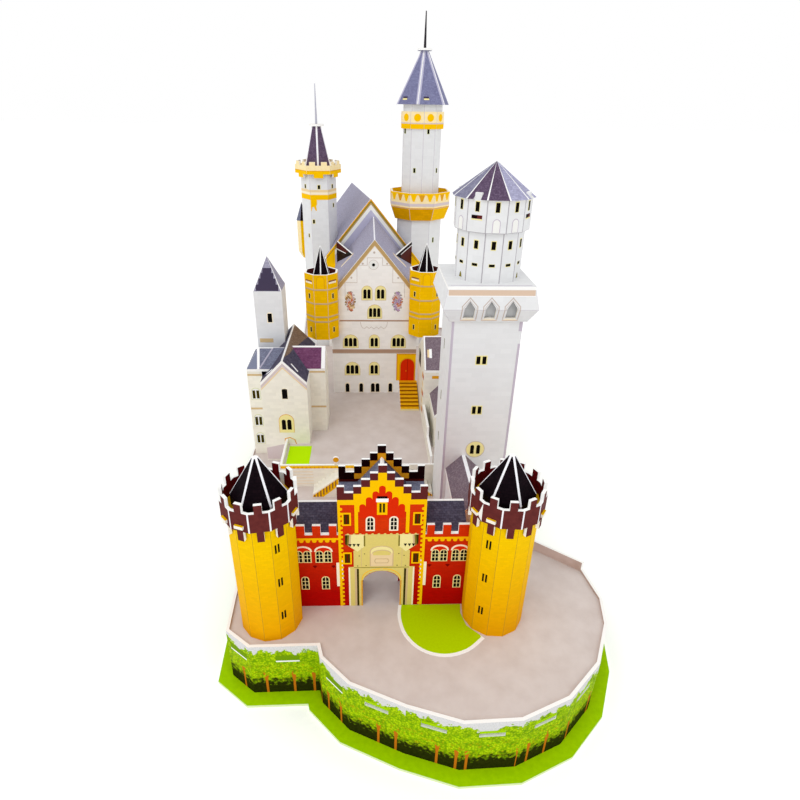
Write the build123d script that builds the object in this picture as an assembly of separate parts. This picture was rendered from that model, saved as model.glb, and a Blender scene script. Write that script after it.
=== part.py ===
from build123d import *
import math
import os

# Paper castle cut from thin foam board.  All sizes are in millimetres.
# The outlines are written with X to the right, Y to the back and Z = 0 on the front court floor;
# each part is moved to the shared frame when it is saved.

BOARD = 1.8              # thickness of the foam board
FIT = 0.1                # clearance round a tab in its slot and between nested tubes
WALL_HEIGHT = 36.2       # court floor above the top of the base board
CURB = 1.7               # how far the outer wall stands above the floor it encloses
BACK_CURB = 7.0          # the same on the right side, where the wall is higher
BASE_MARGIN = 8.0        # lawn showing outside the wall
UPPER_FLOOR = 15.5       # height of the upper court
SUB_FLOOR = -5.0         # top of the hidden floor whose tabs show in the wall
TAB = 13.0               # width of a slot in the outer wall
SLOT_HEIGHT = 4.5

# outer faces of the hill wall, anticlockwise from the front
ROUND_X, ROUND_Y, ROUND_R = 50.0, 8.0, 83.5
ROUND_FIRST = -118.0
ROUND_STEP = 20.0
ROUND_COUNT = 6
RIGHT_PATH = [(133.5, 1.0), (130.0, 26.0), (105.0, 46.0), (96.0, 54.0), (96.0, 118.0)]
REAR_PATH = [(88.0, 130.0), (88.0, 252.0), (72.0, 264.0), (72.0, 360.0), (86.0, 372.0),
             (86.0, 424.0), (50.0, 434.0), (36.0, 523.0), (-92.0, 502.0), (-84.0, 372.0),
             (-66.0, 362.0), (-66.0, 250.0)]
LEFT_PATH = [(-106.0, 236.0), (-106.0, 150.0), (-89.0, 118.0), (-89.0, 20.0),
             (-87.5, -18.0), (-73.0, -29.5), (-35.5, -29.0)]
FRONT_PATH = [(-33.5, -36.5), (-18.0, -52.5)]

# gate building
GATE_HALF = 24.0
GATE_FRONT = 0.0
GATE_DEPTH = 20.7
GATE_STEPS = [(24.0, 86.5), (20.1, 82.5), (15.3, 86.5), (11.1, 90.9), (6.5, 95.0), (2.3, 99.8)]
ARCH_HALF, ARCH_SPRING, ARCH_TOP = 10.8, 20.0, 27.3
GATE_RIDGE, GATE_EAVE = 92.5, 77.5
GATE_TAB_LOW, GATE_TAB_HIGH = 21.0, 36.8
GATE_SIDE = 23.7
WING_END = 47.6
WING_CREST, WING_NOTCH = 60.5, 54.1
WING_MERLONS = [(47.6, 42.3), (38.1, 33.6), (29.0, 24.8)]
WING_ROOF_LOW, WING_ROOF_HIGH = 54.5, 62.2
WING_FRONT_END = 53.6    # the front board runs on behind the towers

# front towers
TOWERS = {"left": (-62.8, -7.2), "right": (64.3, -6.7)}
TOWER_TURN = {"left": 9.0, "right": -4.0}
TOWER_SIDES = 12
TOWER_R, TOWER_TOP = 17.4, 81.2
CROWN_GAP = 0.7          # air between the shaft and the crown round it
CROWN_HEIGHT, CROWN_LAP = 11.3, 2.0
CROWN_DROP_HEIGHT, CROWN_MERLON_HEIGHT = 6.1, 4.9
CROWN_MERLON, CROWN_DROP = 3.9, 3.5
CROWN_TAB, CROWN_TAB_OUT = 5.0, 1.2
CROWN_TAB_FACES = (-2, -1, 2, 5)
SPIRE_TURN = {"left": 3.5, "right": -16.0}
SPIRE_SIDES = 6
SPIRE_R, SPIRE_TOP_R, SPIRE_SKIRT, SPIRE_HEIGHT = 14.8, 1.9, 6.0, 21.2

# keep
KEEP_X, KEEP_Y, KEEP_SIZE = 62.65, 92.35, 41.9
KEEP_TOP = 172.2
HEAD_FLARE, HEAD_UPRIGHT = 8.5, 11.2      # heights of the lower and upper part of the head
HEAD_FOOT_OUT, HEAD_OUT, HEAD_TOP_OUT = 1.95, 6.55, 4.2
NICHE_PITCH, NICHE_WIDTH = 12.2, 6.2
NICHE_DEPTH, NICHE_RISE, NICHE_POINT = 5.7, 0.5, 4.3
DRUM_SHIFT = 0.95
DRUM_SIDES, DRUM_TURN = 12, -4.0
DRUM_R, DRUM_HEIGHT = 19.5, 28.0
LANTERN_OUT, LANTERN_HEIGHT = 2.4, 17.5
LANTERN_MERLON, LANTERN_MERLON_HEIGHT = 3.9, 3.3
LANTERN_MERLON_FACES = (-1, 2, 5, 8)
KEEP_EAVE, KEEP_ROOF_HEIGHT = 1.8, 17.6

# connecting house between the right wing and the keep
LINK_X, LINK_HALF = 55.5, 10.5
LINK_EAVE, LINK_RIDGE, LINK_EAVE_OUT = 49.3, 60.0, 0.8

# right range
COURT_WALL_X = 39.7
COURT_WALL_LOW, COURT_WALL_HIGH, COURT_WALL_STEP = 26.0, 34.0, 150.0
LOW_WING_LEFT, LOW_WING_WIDTH, LOW_WING_LENGTH = 45.0, 36.0, 39.4
LOW_WING_EAVE, LOW_WING_RIDGE, LOW_WING_EAVE_OUT = 45.0, 64.0, 0.6
RANGE_WIDTH, RANGE_LENGTH = 43.3, 59.8
RANGE_EAVE, RANGE_RIDGE, RANGE_FRONT_RUN, RANGE_REAR_EAVE = 66.6, 89.0, 21.7, 66.2

# retaining wall, its side parapet and the stairs in front of it
TERRACE_Y, TERRACE_TOP = 117.9, 19.8
TERRACE_LEFT, TERRACE_RIGHT = -75.0, 92.0
TERRACE_GATE = 12.0
PARAPET_END, RISER_END = 155.5, 243.0
UPPER_AREA_Y = 251.0
FINIAL_X, FINIAL_RISE, FINIAL_R, FINIAL_NECK = -32.1, 4.8, 2.3, 1.2
STAIR_Y = 104.5
STAIR_LEFT, STAIR_LEFT_TOP = -49.3, -30.0
STAIR_RIGHT, STAIR_RIGHT_TOP = 41.0, 21.7
STAIR_STEPS = 6
STAIR_SHELL = 5.1        # width of the foot of a flight, which is hollow above it
RAIL_RISE = 2.5

# palace, front block
FACADE_Y = 248.3
FACADE_LEFT, FACADE_RIGHT = -40.8, 37.5
FACADE_APEX_X, FACADE_APEX = -1.6, 161.5
VERGE = 1.22
BLOCK_LENGTH = 118.3
ROOF_DROP = 0.8
EAVE_OUT = 1.6
FIN_RUN, FIN_LEFT_END, FIN_RIGHT_END = 61.5, -22.0, 18.0
FIN_DOWN = 26.5          # top of the roof fins below the top of the facade
ENTRANCE_X, ENTRANCE_WIDTH, ENTRANCE_RUN, ENTRANCE_RISE = 22.0, 17.0, 36.5, 13.1
ENTRANCE_STEPS = 8

# palace, rear block, turned a little
UPPER_APEX_X, UPPER_RISE = -4.3, 16.6
UPPER_LEFT, UPPER_RIGHT = -52.3, 51.0
REAR_TURN = 9.4
REAR_LENGTH = 140.6
REAR_HALF = 57.0

# turrets on the palace corners
LEFT_TURRET = (-48.2, 15.4, 75.8, 58.7)
RIGHT_TURRET = (43.2, 14.8, 78.0, 59.0)
TURRET_SHELF = 8.0       # floor of a turret below its rim
TURRET_CONE_SIDES, TURRET_CONE_TURN = 6, 30.0
TURRET_CONE_R, TURRET_CONE_TOP_R, TURRET_CONE_HEIGHT = 9.8, 0.6, 29.4

# tall tower
TALL_X, TALL_BACK = 48.0, 30.4
TALL_LOW_TURN, TALL_LOW_SIDES = 0.0, 8
TALL_LOW_R, TALL_LOW_TOP = 25.0, 166.0
GALLERY_OUT, GALLERY_FOOT_OUT = 8.3, 3.6
GALLERY_TAPER, GALLERY_RAIL, GALLERY_UNDER = 12.6, 15.1, 10.4
TALL_TURN, TALL_SIDES = 18.0, 10
TALL_R, TALL_UPPER_HEIGHT = 20.2, 96.2
RING_OUT, RING_HEIGHT, RING_DOWN = 1.9, 15.4, 6.2
TALL_CONE_R, TALL_CONE_TOP_R, TALL_CONE_HEIGHT = 26.7, 3.9, 46.0
TALL_DISC_R, TALL_PIN = 7.2, 30.2
PIN_R, PIN_TIP_R = 1.3, 0.5

# left rear tower
SIDE_X, SIDE_BACK = -58.6, 19.4
SIDE_TURN, SIDE_SIDES = 5.0, 6
SIDE_R, SIDE_TOP = 18.2, 206.0
SIDE_GALLERY_OUT, SIDE_GALLERY_HEIGHT, SIDE_GALLERY_UNDER = 5.3, 15.0, 9.0
SIDE_SCALLOP = 3.4
SIDE_CONE_SIDES, SIDE_CONE_TURN = 6, 35.0
SIDE_CONE_R, SIDE_CONE_TOP_R, SIDE_CONE_HEIGHT = 12.4, 3.6, 35.8
SIDE_DISC_R, SIDE_PIN = 4.8, 35.3
REAR_TURRET_OUT, REAR_TURRET_BACK = 6.7, 2.3
REAR_TURRET_R, REAR_TURRET_LOW, REAR_TURRET_POINT = 7.0, 85.6, 9.0
REAR_TURRET_HEIGHT, REAR_TURRET_CAP, REAR_TURRET_EAVE = 38.4, 21.5, 0.6

# left house
HOUSE_LEFT, HOUSE_WIDTH, HOUSE_FRONT, HOUSE_LENGTH = -91.2, 36.0, 155.5, 80.5
HOUSE_EAVE, HOUSE_RIDGE = 71.5, 90.3
HOUSE_WING_OUT, HOUSE_WING_BACK, HOUSE_WING_LENGTH = 12.8, 21.5, 29.0
HOUSE_WING_EAVE, HOUSE_WING_RIDGE = 73.4, 87.5
ANNEX_OUT, ANNEX_BACK, ANNEX_LENGTH = 11.7, 10.0, 40.0
ANNEX_EAVE, ANNEX_RIDGE, ANNEX_HIP = 78.4, 88.5, 6.7
BACK_TOWER_IN, BACK_TOWER_WIDTH, BACK_TOWER_LENGTH = 2.8, 22.8, 22.5
BACK_TOWER_EAVE, BACK_TOWER_ROOF = 129.0, 25.5

TINY = 0.05              # smallest clearance and the radius of a sharp tip
OVER = 1.0               # how far a cutting tool reaches past what it cuts
FAR = 1500.0             # half size of a tool that cuts everything on one side

# heights and places that follow from the sizes above
CROWN_APOTHEM = TOWER_R * math.cos(math.pi / TOWER_SIDES) + CROWN_GAP + BOARD
CROWN_LOW = TOWER_TOP - CROWN_LAP
CROWN_HIGH = CROWN_LOW + CROWN_HEIGHT
HEAD_MID = KEEP_TOP - HEAD_UPRIGHT
HEAD_LOW = HEAD_MID - HEAD_FLARE
HEAD_SIZE = KEEP_SIZE / 2 + HEAD_OUT
DRUM_X, DRUM_Y = KEEP_X + DRUM_SHIFT, KEEP_Y
DRUM_FOOT = KEEP_TOP + BOARD
LANTERN_LOW = DRUM_FOOT + DRUM_HEIGHT
LANTERN_TOP = LANTERN_LOW + LANTERN_HEIGHT
LANTERN_R = DRUM_R + LANTERN_OUT
KEEP_ROOF_R = LANTERN_R + KEEP_EAVE
RANGE_BACK = FACADE_Y - FIT
RANGE_FRONT = RANGE_BACK - RANGE_LENGTH
RANGE = (COURT_WALL_X, COURT_WALL_X + RANGE_WIDTH, RANGE_FRONT, RANGE_BACK)
RANGE_RIDGE_Y = RANGE_FRONT + RANGE_FRONT_RUN
LOW_WING = (LOW_WING_LEFT, LOW_WING_LEFT + LOW_WING_WIDTH, RANGE_FRONT - LOW_WING_LENGTH,
            RANGE_FRONT)
HOUSE = (HOUSE_LEFT, HOUSE_LEFT + HOUSE_WIDTH, HOUSE_FRONT, HOUSE_FRONT + HOUSE_LENGTH)
HOUSE_WING_FRONT = HOUSE_FRONT + HOUSE_WING_BACK
HOUSE_WING = (HOUSE[1], HOUSE[1] + HOUSE_WING_OUT, HOUSE_WING_FRONT,
              HOUSE_WING_FRONT + HOUSE_WING_LENGTH)
ANNEX_FRONT = HOUSE_FRONT + ANNEX_BACK
ANNEX = (HOUSE_LEFT - ANNEX_OUT, HOUSE_LEFT, ANNEX_FRONT, ANNEX_FRONT + ANNEX_LENGTH)
BACK_TOWER_LEFT = ANNEX[0] + BACK_TOWER_IN
BACK_TOWER = (BACK_TOWER_LEFT, BACK_TOWER_LEFT + BACK_TOWER_WIDTH, ANNEX[3],
              ANNEX[3] + BACK_TOWER_LENGTH)
BLOCK_END = FACADE_Y + BLOCK_LENGTH
FIN_TOP = FACADE_APEX - FIN_DOWN
UPPER_APEX = FACADE_APEX + UPPER_RISE
TALL_Y = BLOCK_END + TALL_BACK
TALL_FLOOR = TALL_LOW_TOP + BOARD
TALL_TOP = TALL_FLOOR + TALL_UPPER_HEIGHT
TALL_CONE_TOP = TALL_TOP + TALL_CONE_HEIGHT
GALLERY_LOW = TALL_LOW_TOP - GALLERY_UNDER
GALLERY_MID = GALLERY_LOW + GALLERY_TAPER
GALLERY_TOP = GALLERY_MID + GALLERY_RAIL
GALLERY_R = TALL_LOW_R + GALLERY_OUT
RING_HIGH = TALL_TOP - RING_DOWN
RING_LOW = RING_HIGH - RING_HEIGHT
SIDE_Y = BLOCK_END + SIDE_BACK
SIDE_CONE_TOP = SIDE_TOP + BOARD + SIDE_CONE_HEIGHT
SIDE_GALLERY_R = SIDE_R + SIDE_GALLERY_OUT
SIDE_GALLERY_LOW = SIDE_TOP - SIDE_GALLERY_UNDER
SIDE_GALLERY_HIGH = SIDE_GALLERY_LOW + SIDE_GALLERY_HEIGHT


def ring_points():
    points = []
    for number in range(ROUND_COUNT):
        angle = math.radians(ROUND_FIRST + ROUND_STEP * number)
        points.append((ROUND_X + ROUND_R * math.cos(angle), ROUND_Y + ROUND_R * math.sin(angle)))
    return points


ROUND_PATH = ring_points()
HILL = ROUND_PATH + RIGHT_PATH + REAR_PATH + LEFT_PATH + FRONT_PATH


def inset(points, distance):
    """Move every edge of an anticlockwise outline inwards, keeping sharp corners."""
    count = len(points)
    moved = []
    for index in range(count):
        ax, ay = points[index - 1]
        bx, by = points[index]
        cx, cy = points[(index + 1) % count]
        first = math.hypot(bx - ax, by - ay)
        second = math.hypot(cx - bx, cy - by)
        n1x, n1y = -(by - ay) / first, (bx - ax) / first
        n2x, n2y = -(cy - by) / second, (cx - bx) / second
        scale = distance / (1.0 + n1x * n2x + n1y * n2y)
        moved.append((bx + (n1x + n2x) * scale, by + (n1y + n2y) * scale))
    return moved


HILL_INNER = inset(HILL, BOARD)
BASE_OUTLINE = inset(HILL, -BASE_MARGIN)
FRAME_X = (min(p[0] for p in BASE_OUTLINE) + max(p[0] for p in BASE_OUTLINE)) / 2
FRAME_Y = (min(p[1] for p in BASE_OUTLINE) + max(p[1] for p in BASE_OUTLINE)) / 2
FRAME_Z = BOARD + WALL_HEIGHT


def plate(points, low, high):
    """Board lying flat, or any upright prism, from an outline seen from above."""
    outline = [(x, y, low) for x, y in points]
    return extrude(make_face(Polyline(*outline, close=True)), amount=high - low, dir=(0, 0, 1))


def board_xz(points, front, back):
    """Board facing the front, from an outline of (x, z) points."""
    outline = [(x, front, z) for x, z in points]
    return extrude(make_face(Polyline(*outline, close=True)), amount=back - front, dir=(0, 1, 0))


def board_yz(points, left, right):
    """Board facing sideways, from an outline of (y, z) points."""
    outline = [(left, y, z) for y, z in points]
    return extrude(make_face(Polyline(*outline, close=True)), amount=right - left, dir=(1, 0, 0))


def block(x0, x1, y0, y1, z0, z1):
    return Pos((x0 + x1) / 2, (y0 + y1) / 2, (z0 + z1) / 2) * Box(x1 - x0, y1 - y0, z1 - z0)


def ngon(cx, cy, radius, sides, turn):
    """Corners of a regular outline; one face looks to the front when turn is 0."""
    points = []
    for number in range(sides):
        angle = math.radians(-90.0 + turn + (number + 0.5) * 360.0 / sides)
        points.append((cx + radius * math.cos(angle), cy + radius * math.sin(angle)))
    return points


def apothem_of(radius, sides):
    return radius * math.cos(math.pi / sides)


def radius_of(apothem, sides):
    return apothem / math.cos(math.pi / sides)


def prism(cx, cy, radius, sides, turn, low, high):
    return plate(ngon(cx, cy, radius, sides, turn), low, high)


def tube(cx, cy, radius, sides, turn, low, high):
    """Folded tube with one flat face per side; radius is to the outer corners."""
    inner = radius_of(apothem_of(radius, sides) - BOARD, sides)
    return (prism(cx, cy, radius, sides, turn, low, high)
            - prism(cx, cy, inner, sides, turn, low - OVER, high + OVER))


def frustum(bottom, top):
    """Solid with flat sides between two outlines of the same number of corners."""
    faces = [make_face(Polyline(*bottom, close=True)), make_face(Polyline(*top, close=True))]
    for index in range(len(bottom)):
        corners = (bottom[index - 1], bottom[index], top[index], top[index - 1])
        faces.append(make_face(Polyline(*corners, close=True)))
    return Solid(Shell([face.face() for face in faces]))


def taper(cx, cy, sides, turn, low, low_radius, high, high_radius):
    """Solid between two regular outlines of the same number of sides."""
    bottom = [(x, y, low) for x, y in ngon(cx, cy, low_radius, sides, turn)]
    top = [(x, y, high) for x, y in ngon(cx, cy, high_radius, sides, turn)]
    return frustum(bottom, top)


def taper_shell(cx, cy, sides, turn, low, low_radius, high, high_radius):
    """Folded cone of board, open below, with the wall thickness measured square to its faces."""
    low_apothem = apothem_of(low_radius, sides)
    high_apothem = apothem_of(high_radius, sides)
    run = low_apothem - high_apothem
    rise = high - low
    shift = BOARD * math.hypot(run, rise) / rise
    slope = rise / run
    outer = taper(cx, cy, sides, turn, low, low_radius, high, high_radius)
    foot = low - OVER
    inner_low = low_apothem - shift + OVER / slope
    inner_top = foot + (inner_low - TINY) * slope
    inner_high = TINY
    if high_apothem - shift > TINY:
        inner_top = high + OVER
        inner_high = inner_low - (inner_top - foot) / slope
    inner = taper(cx, cy, sides, turn, foot, radius_of(inner_low, sides),
                  inner_top, radius_of(inner_high, sides))
    return outer - inner


def facet_box(cx, cy, turn, apothem, width, low, high, depth=BOARD):
    """Upright strip of board lying on one face of a tube, its outer side at the apothem."""
    strip = block(-width / 2, width / 2, -apothem, -apothem + depth, low, high)
    return Pos(cx, cy, 0) * Rot(0, 0, turn) * strip


def v_roof(xc, half, ridge, eave, y0, y1):
    """Roof sheet folded along Y; ridge and eave are heights of its upper side."""
    drop = BOARD * math.hypot(half, ridge - eave) / half
    points = [(xc - half, eave), (xc - half, eave - drop), (xc, ridge - drop),
              (xc + half, eave - drop), (xc + half, eave), (xc, ridge)]
    return board_xz(points, y0, y1)


def under_roof(xc, half, ridge, eave, left, right, foot):
    """Outline of a gable that fits below such a roof."""
    slope = (ridge - eave) / half
    drop = BOARD * math.hypot(half, ridge - eave) / half
    return [(left, foot), (right, foot), (right, ridge - drop - slope * (right - xc)),
            (xc, ridge - drop), (left, ridge - drop - slope * (xc - left))]


def save(shape, name):
    moved = Pos(-FRAME_X, -FRAME_Y, FRAME_Z) * shape
    solids = moved.solids()
    whole = solids[0] if len(solids) == 1 else Compound(children=list(solids))
    export_step(whole, "parts/" + name + ".step")


# Hill: base board, folded wall strips, hidden floor and the two court floors

def wall_strip(first, count, low, high):
    """Strip of the hill wall from corner number first over the given number of faces."""
    size = len(HILL)
    outer = [HILL[(first + step) % size] for step in range(count + 1)]
    inner = [HILL_INNER[(first + step) % size] for step in range(count + 1)]
    return plate(outer + inner[::-1], low, high)


def edge_box(index, width, depth_in, depth_out, low, high):
    """Box centred on one face of the hill wall."""
    ax, ay = HILL[index % len(HILL)]
    bx, by = HILL[(index + 1) % len(HILL)]
    angle = math.degrees(math.atan2(by - ay, bx - ax))
    box = block(-width / 2, width / 2, -depth_out, depth_in, low, high)
    return Pos((ax + bx) / 2, (ay + by) / 2, 0) * Rot(0, 0, angle) * box


FRONT_FIRST = len(HILL) - 3
FRONT_FACES = 3 + ROUND_COUNT + 1
RIGHT_FIRST = ROUND_COUNT + 1
RIGHT_FACES = 3
REAR_FIRST = ROUND_COUNT + 4
REAR_FACES = len(REAR_PATH)
LEFT_FIRST = REAR_FIRST + REAR_FACES
LEFT_FACES = len(LEFT_PATH)
SLOT_FACES = [len(HILL) - 1, 0, 1, 2, 3, 4, ROUND_COUNT]


def hill_walls():
    foot = -WALL_HEIGHT
    front = wall_strip(FRONT_FIRST, FRONT_FACES, foot, CURB)
    for index in SLOT_FACES:
        front -= edge_box(index, TAB, BOARD + OVER, OVER, SUB_FLOOR - SLOT_HEIGHT,
                          SUB_FLOOR + FIT)
    return {
        "outer_wall_front": front,
        "outer_wall_right": wall_strip(RIGHT_FIRST, RIGHT_FACES, foot, BACK_CURB),
        "outer_wall_rear": wall_strip(REAR_FIRST, REAR_FACES, foot, UPPER_FLOOR + CURB),
        "outer_wall_left": wall_strip(LEFT_FIRST, LEFT_FACES, foot, CURB),
    }


def hidden_floor():
    floor = plate(inset(HILL, BOARD + FIT), SUB_FLOOR - BOARD, SUB_FLOOR)
    floor -= block(-FAR, FAR, TERRACE_Y, FAR, SUB_FLOOR - BOARD - OVER, SUB_FLOOR + OVER)
    for index in SLOT_FACES:
        tab = edge_box(index, TAB - 2 * FIT, BOARD + OVER, 0, SUB_FLOOR - BOARD, SUB_FLOOR)
        floor += tab
    return floor


def upper_area(low, high):
    area = block(TERRACE_LEFT + BOARD, FAR, TERRACE_Y + BOARD, FAR, low, high)
    return area + block(-FAR, FAR, UPPER_AREA_Y, FAR, low, high)


def front_floor():
    return plate(HILL_INNER, -BOARD, 0) - upper_area(-BOARD - OVER, OVER)


def upper_floor():
    low = UPPER_FLOOR - BOARD
    return plate(HILL_INNER, low, UPPER_FLOOR) & upper_area(low, UPPER_FLOOR)


def retaining_wall():
    """Wall of the upper court with its side parapet, one sheet folded at the corner."""
    y0, y1 = TERRACE_Y, TERRACE_Y + BOARD
    outline = [(TERRACE_LEFT, 0), (TERRACE_RIGHT, 0), (TERRACE_RIGHT, TERRACE_TOP),
               (TERRACE_GATE, TERRACE_TOP), (TERRACE_GATE, UPPER_FLOOR),
               (-TERRACE_GATE, UPPER_FLOOR), (-TERRACE_GATE, TERRACE_TOP),
               (TERRACE_LEFT, TERRACE_TOP)]
    wall = board_xz(outline, y0, y1)
    side = [(y1, 0), (RISER_END, 0), (RISER_END, UPPER_FLOOR), (PARAPET_END, UPPER_FLOOR),
            (PARAPET_END, TERRACE_TOP), (y1, TERRACE_TOP)]
    wall += board_yz(side, TERRACE_LEFT, TERRACE_LEFT + BOARD)
    height = TERRACE_TOP + FINIAL_RISE
    wall += block(FINIAL_X - FINIAL_NECK, FINIAL_X + FINIAL_NECK, y0, y1, TERRACE_TOP - OVER,
                  height)
    ball = Pos(FINIAL_X, (y0 + y1) / 2, height) * Rot(90, 0, 0) * Cylinder(FINIAL_R, BOARD)
    return wall + ball


def stair_profile(left, right, rise, steps):
    """Upper line of a stair from (left, 0) to (right, rise)."""
    points = [(left, 0)]
    run = (right - left) / steps
    height = rise / steps
    for number in range(steps):
        points.append((left + run * number, height * (number + 1)))
        points.append((left + run * (number + 1), height * (number + 1)))
    return points


def terrace_stairs():
    """Two flights and a landing folded from one strip, closed down to the floor at each end."""
    left = stair_profile(STAIR_LEFT, STAIR_LEFT_TOP, UPPER_FLOOR, STAIR_STEPS)
    right = stair_profile(STAIR_RIGHT, STAIR_RIGHT_TOP, UPPER_FLOOR, STAIR_STEPS)
    top = left + right[::-1]
    strip = board_xz(top, STAIR_Y + BOARD, TERRACE_Y)
    deck = UPPER_FLOOR - BOARD
    left_foot, right_foot = STAIR_LEFT + STAIR_SHELL, STAIR_RIGHT - STAIR_SHELL
    below = [(left_foot, -OVER), (left_foot, 0), (STAIR_LEFT_TOP + OVER, deck),
             (STAIR_RIGHT_TOP - OVER, deck), (right_foot, 0), (right_foot, -OVER)]
    hollow = board_xz(below, STAIR_Y, TERRACE_Y + OVER)
    return strip - hollow


def stair_rail():
    rail = [(STAIR_LEFT, 0), (STAIR_RIGHT, 0), (STAIR_RIGHT, RAIL_RISE),
            (STAIR_RIGHT_TOP, UPPER_FLOOR + RAIL_RISE), (STAIR_LEFT_TOP, UPPER_FLOOR + RAIL_RISE),
            (STAIR_LEFT, RAIL_RISE)]
    return board_xz(rail, STAIR_Y, STAIR_Y + BOARD)


# Gate with its two wings

def mirror_steps(points):
    return [(-x, z) for x, z in points[::-1]]


def gate_outline():
    """Right half of the stepped gable, from its outer edge to the middle."""
    points = []
    for index, (x, top) in enumerate(GATE_STEPS):
        points.append((x, top))
        inner = GATE_STEPS[index + 1][0] if index + 1 < len(GATE_STEPS) else 0.0
        if inner > 0:
            points.append((inner, top))
    return points


def arch_hole(front, back):
    rise = ARCH_TOP - ARCH_SPRING
    low = -OVER
    edge = Polyline((-ARCH_HALF, front, ARCH_SPRING), (-ARCH_HALF, front, low),
                    (ARCH_HALF, front, low), (ARCH_HALF, front, ARCH_SPRING))
    bow = ThreePointArc((ARCH_HALF, front, ARCH_SPRING), (0, front, ARCH_SPRING + rise),
                        (-ARCH_HALF, front, ARCH_SPRING))
    return extrude(make_face([edge, bow]), amount=back - front, dir=(0, 1, 0))


def tower_space():
    space = None
    for side, (cx, cy) in TOWERS.items():
        shaft = prism(cx, cy, TOWER_R + FIT, TOWER_SIDES, TOWER_TURN[side], -OVER, TOWER_TOP)
        space = shaft if space is None else space + shaft
    return space


def gate_front():
    half = [(WING_FRONT_END, 0), (WING_FRONT_END, WING_CREST)]
    for index, (outer, inner) in enumerate(WING_MERLONS):
        if index > 0:
            half.append((outer, WING_NOTCH))
            half.append((outer, WING_CREST))
        half.append((inner, WING_CREST))
        half.append((inner, WING_NOTCH))
    half.append((GATE_HALF, WING_NOTCH))
    half += gate_outline()
    wall = board_xz(half + mirror_steps(half), GATE_FRONT, GATE_FRONT + BOARD)
    wall -= arch_hole(GATE_FRONT - OVER, GATE_FRONT + BOARD + OVER)
    for sign in (-1, 1):
        x0, x1 = sorted((sign * (GATE_SIDE + FIT), sign * (GATE_SIDE - BOARD - FIT)))
        wall -= block(x0, x1, GATE_FRONT - OVER, GATE_FRONT + BOARD + OVER,
                      GATE_TAB_LOW - FIT, GATE_TAB_HIGH + FIT)
    return wall - tower_space()


def gate_rear():
    """Rear board of the gate and wings with the gate sides and wing ends folded forward."""
    back = GATE_DEPTH
    half = [(WING_END, 0), (WING_END, WING_ROOF_HIGH), (GATE_HALF, WING_ROOF_HIGH)]
    half += gate_outline()
    wall = board_xz(half + mirror_steps(half), back - BOARD, back)
    wall -= arch_hole(back - BOARD - OVER, back + OVER)
    run = back - 2 * BOARD
    slope = (WING_ROOF_HIGH - WING_ROOF_LOW) / run
    drop = BOARD * math.hypot(1, slope)
    y0, y1 = BOARD, back - BOARD
    side = [(y0, 0), (y1, 0), (y1, WING_ROOF_HIGH - drop), (y0, WING_ROOF_LOW - drop)]
    for sign in (-1, 1):
        x0, x1 = sorted((sign * WING_END, sign * (WING_END - BOARD)))
        wall += board_yz(side, x0, x1)
        wall += gate_side(sign)
    return wall - tower_space()


def wing_roof(sign):
    y0, y1 = BOARD, GATE_DEPTH - BOARD
    slope = (WING_ROOF_HIGH - WING_ROOF_LOW) / (y1 - y0)
    drop = BOARD * math.hypot(1, slope)
    outline = [(y0, WING_ROOF_LOW), (y0, WING_ROOF_LOW - drop), (y1, WING_ROOF_HIGH - drop),
               (y1, WING_ROOF_HIGH)]
    x0, x1 = sorted((sign * WING_END, sign * (GATE_SIDE + FIT)))
    return board_yz(outline, x0, x1) - tower_space()


def gate_side(sign):
    y0, y1 = BOARD, GATE_DEPTH - BOARD
    half = GATE_HALF
    drop = BOARD * math.hypot(half, GATE_RIDGE - GATE_EAVE) / half
    top = GATE_RIDGE - drop - (GATE_RIDGE - GATE_EAVE) * GATE_SIDE / half
    x0, x1 = sorted((sign * GATE_SIDE, sign * (GATE_SIDE - BOARD)))
    side = block(x0, x1, y0, y1, 0, top)
    return side + block(x0, x1, GATE_FRONT, y0, GATE_TAB_LOW, GATE_TAB_HIGH)


def gate_roof():
    return v_roof(0, GATE_HALF, GATE_RIDGE, GATE_EAVE, BOARD, GATE_DEPTH - BOARD)


# Front towers

def tower_shaft(side):
    cx, cy = TOWERS[side]
    return tube(cx, cy, TOWER_R, TOWER_SIDES, TOWER_TURN[side], 0, TOWER_TOP)


def tower_disc(side):
    """Disc on the shaft; its tabs pass through the crown and stand out a little."""
    cx, cy = TOWERS[side]
    top = TOWER_TOP + BOARD
    inner = radius_of(CROWN_APOTHEM - BOARD - FIT, TOWER_SIDES)
    disc = prism(cx, cy, inner, TOWER_SIDES, TOWER_TURN[side], TOWER_TOP, top)
    for face in CROWN_TAB_FACES:
        turn = TOWER_TURN[side] + 360.0 * face / TOWER_SIDES
        disc += facet_box(cx, cy, turn, CROWN_APOTHEM + CROWN_TAB_OUT, CROWN_TAB - 2 * FIT,
                          TOWER_TOP, top, BOARD + CROWN_TAB_OUT + OVER)
    return disc


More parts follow.
